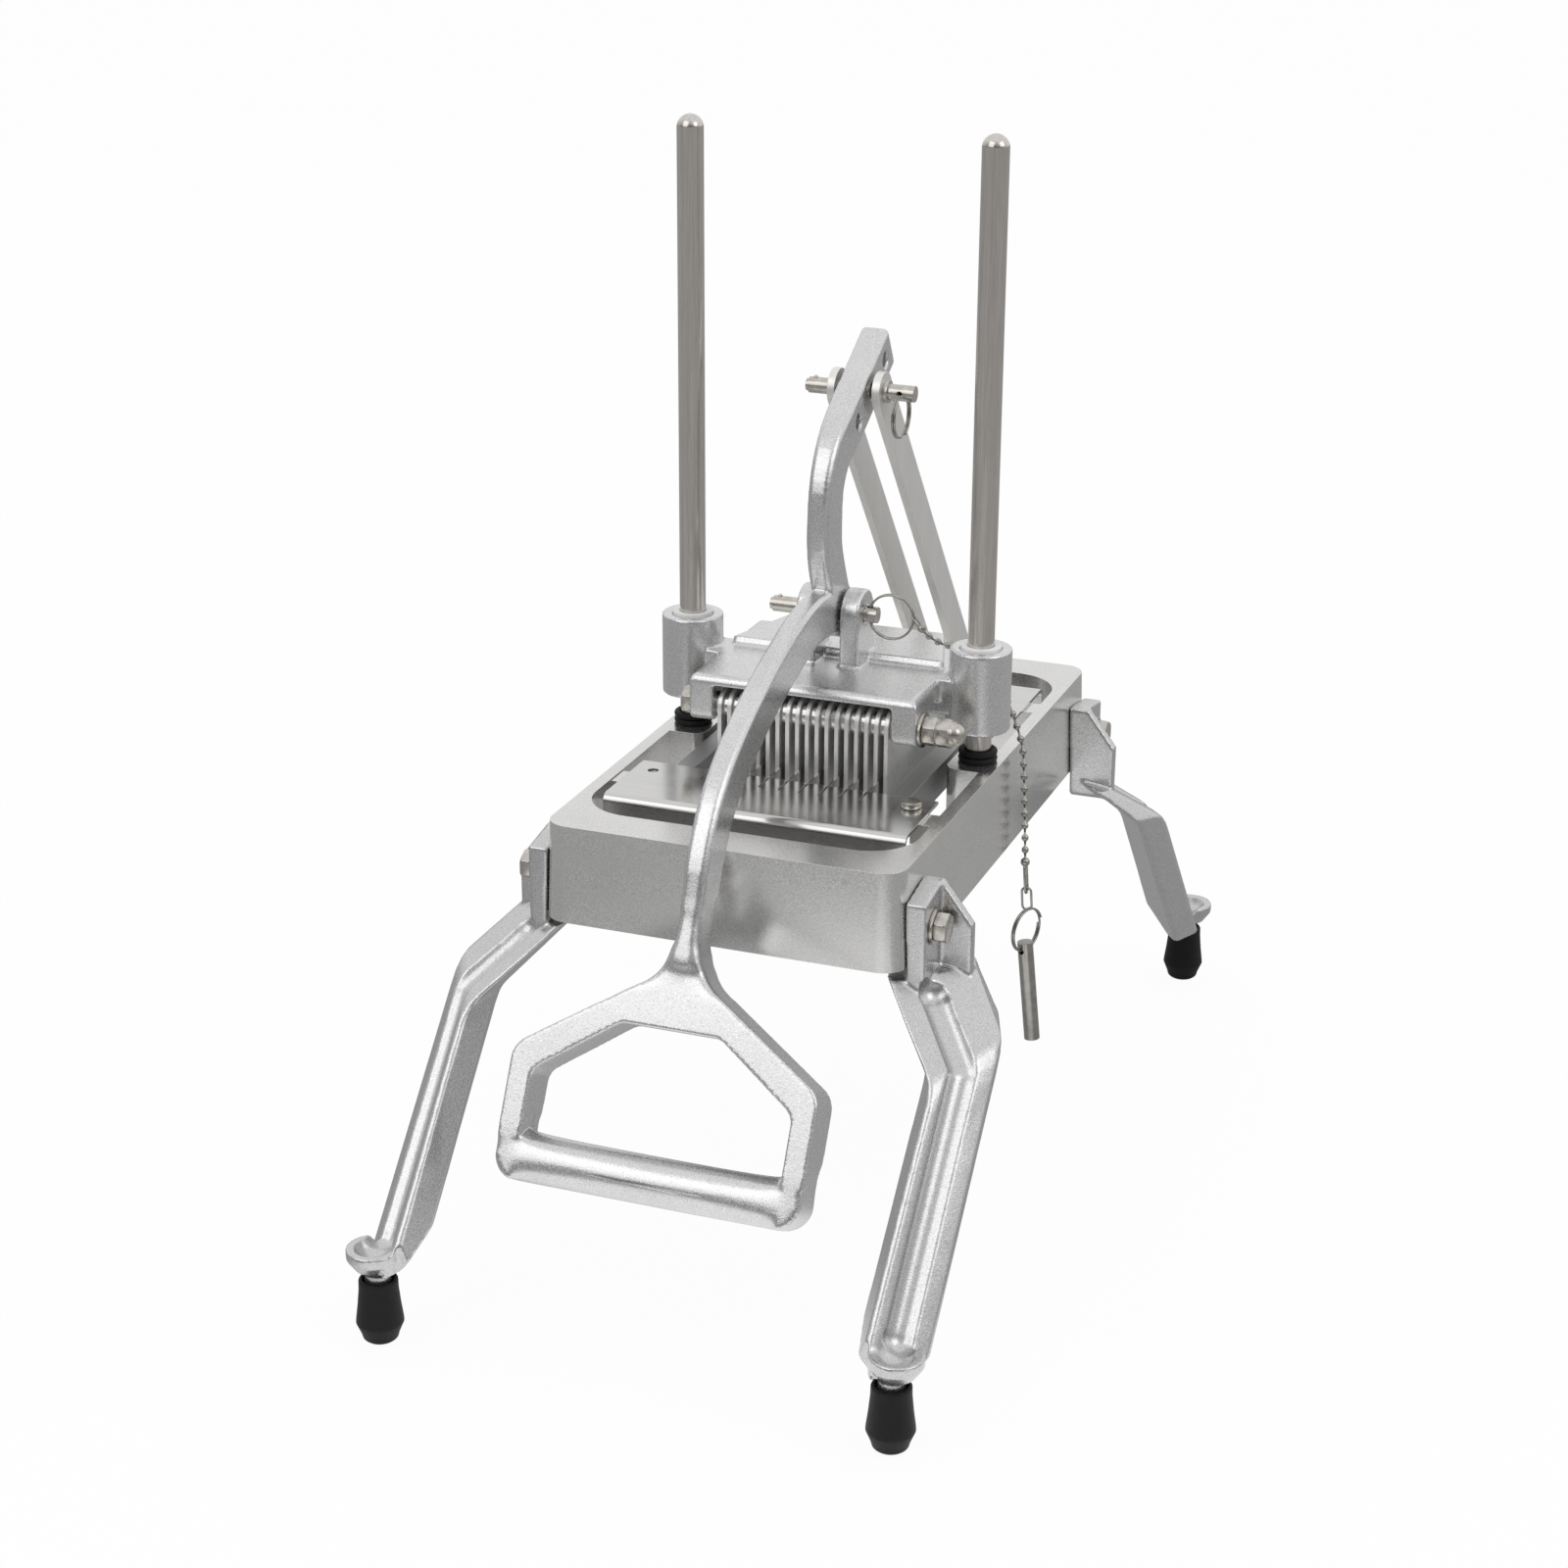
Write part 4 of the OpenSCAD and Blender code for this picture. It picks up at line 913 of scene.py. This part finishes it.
class SLICER_OT_small_pieces(bpy.types.Operator):
    """Break the edges of rods, bushings, rubbers, bars and sheets"""

    bl_idname = "slicer.small_pieces"
    bl_label = "Rods, bushings, bars and sheets"

    sheet_edge = 0.00022
    # a cartridge plate in the solids: its reach, its top, its thickness and its bend's radius
    cart_reach, cart_top, cart_t, cart_wide = 0.110, 0.2175, 0.0015, 0.009
    # a blade's end: the two cuts of its slope, and from where its points are lowered
    notch_cuts, notch_from = (0.0622, 0.0625), 0.0624
    near, touching = 1e-4, 1e-5

    def execute(self, context):
        for table in (RODS, BUSHINGS, RUBBERS, BARS, SHEETS):
            break_edges(table)
        round_edges("blades", self.sheet_edge, shape=self.notch)
        for node, side in (("cartridge_front", -1), ("cartridge_rear", 1)):
            round_edges(node, self.sheet_edge, shape=lambda piece: self.tighten(piece, side))
        return {"FINISHED"}

    def tighten(self, piece, side):
        """Draws the bend of a cartridge plate in to its sharper radius."""
        reach = self.cart_reach * side
        narrow = bpy.context.scene.slicer_sizes.cart_bend
        turn = Vector((reach - self.cart_wide * side, self.cart_top - self.cart_wide))
        for depth in (0, self.cart_t):
            old, new = self.cart_wide - depth, narrow - depth
            pick_points(piece, lambda co: (
                (co.y - turn.x) * side > -self.touching and co.z - turn.y > -self.touching
                and abs((Vector((co.y, co.z)) - turn).length - old) < self.near
            ))
            bpy.ops.transform.resize(
                value=(1, new / old, new / old),
                center_override=(0, reach - depth * side, self.cart_top - depth),
            )
            bpy.ops.object.mode_set(mode="OBJECT")

    def notch(self, piece):
        """Lowers the ends of the blades where they lie in the cartridge's slits."""
        top = corners("blades")[1].z
        for side in (1, -1):
            for reach in self.notch_cuts:
                edit(piece, lambda: bpy.ops.mesh.bisect(
                    plane_co=(0, side * reach, 0), plane_no=(0, 1, 0)
                ))
        pick_points(piece, lambda co: abs(co.y) > self.notch_from and co.z > top - self.near)
        depth = bpy.context.scene.slicer_sizes.blade_notch
        bpy.ops.transform.translate(value=(0, 0, -depth))
        bpy.ops.object.mode_set(mode="OBJECT")


class SLICER_OT_castings(bpy.types.Operator):
    """Round the cast frame, legs, head and lever"""

    bl_idname = "slicer.castings"
    bl_label = "Castings"

    # bands of the lever's height that are rounded further, with a share of the passes
    neck = ((0.168, 0.200, 1.0), (0.158, 0.214, 0.3))
    # the grip's lower corners: their reach from the middle, their top and a share of the passes
    grip_corners = ((0.048, 0.101, 0.7), (0.036, 0.105, 0.15))
    frame_segments = 3

    def execute(self, context):
        sizes = context.scene.slicer_sizes
        lever = soften("lever_handle", sizes)
        for node in ("pusher_head",) + LEGS:
            soften(node, sizes)
        for low, high, share in self.neck:
            self.ease(lever, lambda co: low < co.z < high, sizes.neck_soft * share)
        for inner, high, share in self.grip_corners:
            self.ease(lever, lambda co: abs(co.x) > inner and co.z < high, sizes.neck_soft * share)
        round_edges("base_frame", sizes.frame_edge, self.frame_segments)
        return {"FINISHED"}

    def ease(self, piece, test, passes):
        """Rounds the part of a piece whose points pass a test."""
        pick_points(piece, test)
        bpy.ops.mesh.vertices_smooth(factor=0.5, repeat=round(passes))
        bpy.ops.object.mode_set(mode="OBJECT")


class SLICER_OT_stage(bpy.types.Operator):
    """Lay the floor and hang the soft lights"""

    bl_idname = "slicer.stage"
    bl_label = "Stage"

    floor_drop = 0.0005
    # the painted pool of light on the floor, seen in reflections: its middle, where its edge starts
    # and ends, and the share that glows
    pool_middle = (0.10, -0.42, 0)
    pool_start, pool_end = 0.8, 1.2
    glow_share = 0.95
    # the room's light grows from dark to full between these heights of a leaning plane
    sky_lean, sky_low, sky_high = 0.7, -0.3, 0.7
    # each lamp's place and side, and what they face
    key_spot, key_side = (-0.9, -1.9, 1.7), 2.0
    fill_spot, fill_side = (1.9, -0.5, 1.6), 1.3
    lamp_aim = Vector((0, 0, 0.2))

    def execute(self, context):
        stage = context.scene.slicer_stage
        deselect()
        bpy.ops.mesh.primitive_plane_add(size=stage.floor_side, location=(0, 0, -self.floor_drop))
        floor = bpy.context.object
        floor.name = "floor"
        floor.data.materials.append(self.floor_finish(stage))
        self.sky(context, stage)
        self.lamp("key", self.key_spot, self.key_side, stage.key)
        self.lamp("fill", self.fill_spot, self.fill_side, stage.fill)
        context.scene.view_settings.view_transform = "Standard"
        return {"FINISHED"}

    def floor_finish(self, stage):
        """A pale floor: white to the camera, with a painted pool of light before the machine in
        reflections, darker far off.
        """
        made = Finish("studio_floor", Roughness=0.9)
        cloud = made.ramp(made.noise(made.place(), scale=3), *BROAD)
        tone = tuple(stage.floor)
        made.set("Base Color", made.mix(cloud, shade(tone, 0.99), shade(tone, 1)))
        seen, gloss, through = (made.ray(kind) for kind in ("Camera", "Glossy", "Transmission"))
        away = made.away(made.node("ShaderNodeTexCoord", out="Object"), self.pool_middle)
        start, end = stage.pool * self.pool_start, stage.pool * self.pool_end
        # painted pool of light: reflections see the floor glow full near the pool's middle and fade
        # to the far floor's level
        pool = made.ramp(away, start, end, 1.0, stage.pool_edge)
        level = made.ramp(seen + through, 0, 1, pool, 1.0)
        glow = made.node("ShaderNodeEmission", None, {"Color": made.grey(level)})
        share = (seen + gloss + through) * self.glow_share
        mixed = made.node(
            "ShaderNodeMixShader", None,
            {0: share, 1: Value(made, made.shader.outputs[0]), 2: glow},
        )
        made.tree.links.new(mixed.socket, made.out.inputs["Surface"])
        return made.material

    def sky(self, context, stage):
        """A room that is white to the camera and lights from above and behind."""
        world = bpy.data.worlds.new("studio")
        world.use_nodes = True
        made = Nodes(world.node_tree)
        way = made.node("ShaderNodeTexCoord", out="Generated")
        behind = made.node("ShaderNodeSeparateXYZ", None, {0: way}, out="Y")
        above = made.node("ShaderNodeSeparateXYZ", None, {0: way}, out="Z")
        height = behind * self.sky_lean + above
        lit = made.ramp(height, self.sky_low, self.sky_high, stage.dim, stage.sky)
        level = made.ramp(made.ray("Camera"), 0, 1, lit, 1.0)
        glow = made.node("ShaderNodeBackground", None, {"Color": made.grey(level)})
        out = made.tree.nodes.new("ShaderNodeOutputWorld")
        made.tree.links.new(glow.socket, out.inputs["Surface"])
        context.scene.world = world

    def lamp(self, name, spot, side, power):
        """A square soft box that faces the machine."""
        data = bpy.data.lights.new(name, "AREA")
        data.shape = "SQUARE"
        data.size = side
        data.energy = power
        lamp = bpy.data.objects.new(name, data)
        bpy.context.scene.collection.objects.link(lamp)
        turn = (self.lamp_aim - Vector(spot)).to_track_quat("-Z", "Y").to_matrix().to_4x4()
        lamp.matrix_world = Matrix.Translation(spot) @ turn


class SLICER_PT_pieces(bpy.types.Panel):
    """Lists the slicer's pieces"""

    bl_idname = "SLICER_PT_pieces"
    bl_label = "Slicer"
    bl_space_type = "VIEW_3D"
    bl_region_type = "UI"
    bl_category = "Slicer"

    def draw(self, context):
        for step in STEPS:
            self.layout.operator(step)


STEPS = [
    "slicer.view", "slicer.finishes", "slicer.rings", "slicer.pins", "slicer.bead_chain",
    "slicer.castings", "slicer.fasteners", "slicer.small_pieces", "slicer.stage",
]

CLASSES = [
    SlicerFinishes, SlicerSizes, SlicerStage, SLICER_OT_view, SLICER_OT_finishes,
    SLICER_OT_bead_chain, SLICER_OT_rings, SLICER_OT_castings, SLICER_OT_fasteners,
    SLICER_OT_pins, SLICER_OT_small_pieces, SLICER_OT_stage, SLICER_PT_pieces,
]


def register():
    for made in CLASSES:
        bpy.utils.register_class(made)
    bpy.types.Scene.slicer_finishes = PointerProperty(type=SlicerFinishes)
    bpy.types.Scene.slicer_sizes = PointerProperty(type=SlicerSizes)
    bpy.types.Scene.slicer_stage = PointerProperty(type=SlicerStage)


def unregister():
    del bpy.types.Scene.slicer_stage
    del bpy.types.Scene.slicer_sizes
    del bpy.types.Scene.slicer_finishes
    for made in reversed(CLASSES):
        bpy.utils.unregister_class(made)


def main():
    register()
    for step in STEPS:
        group, name = step.split(".")
        getattr(getattr(bpy.ops, group), name)()


if __name__ == "__main__":
    main()
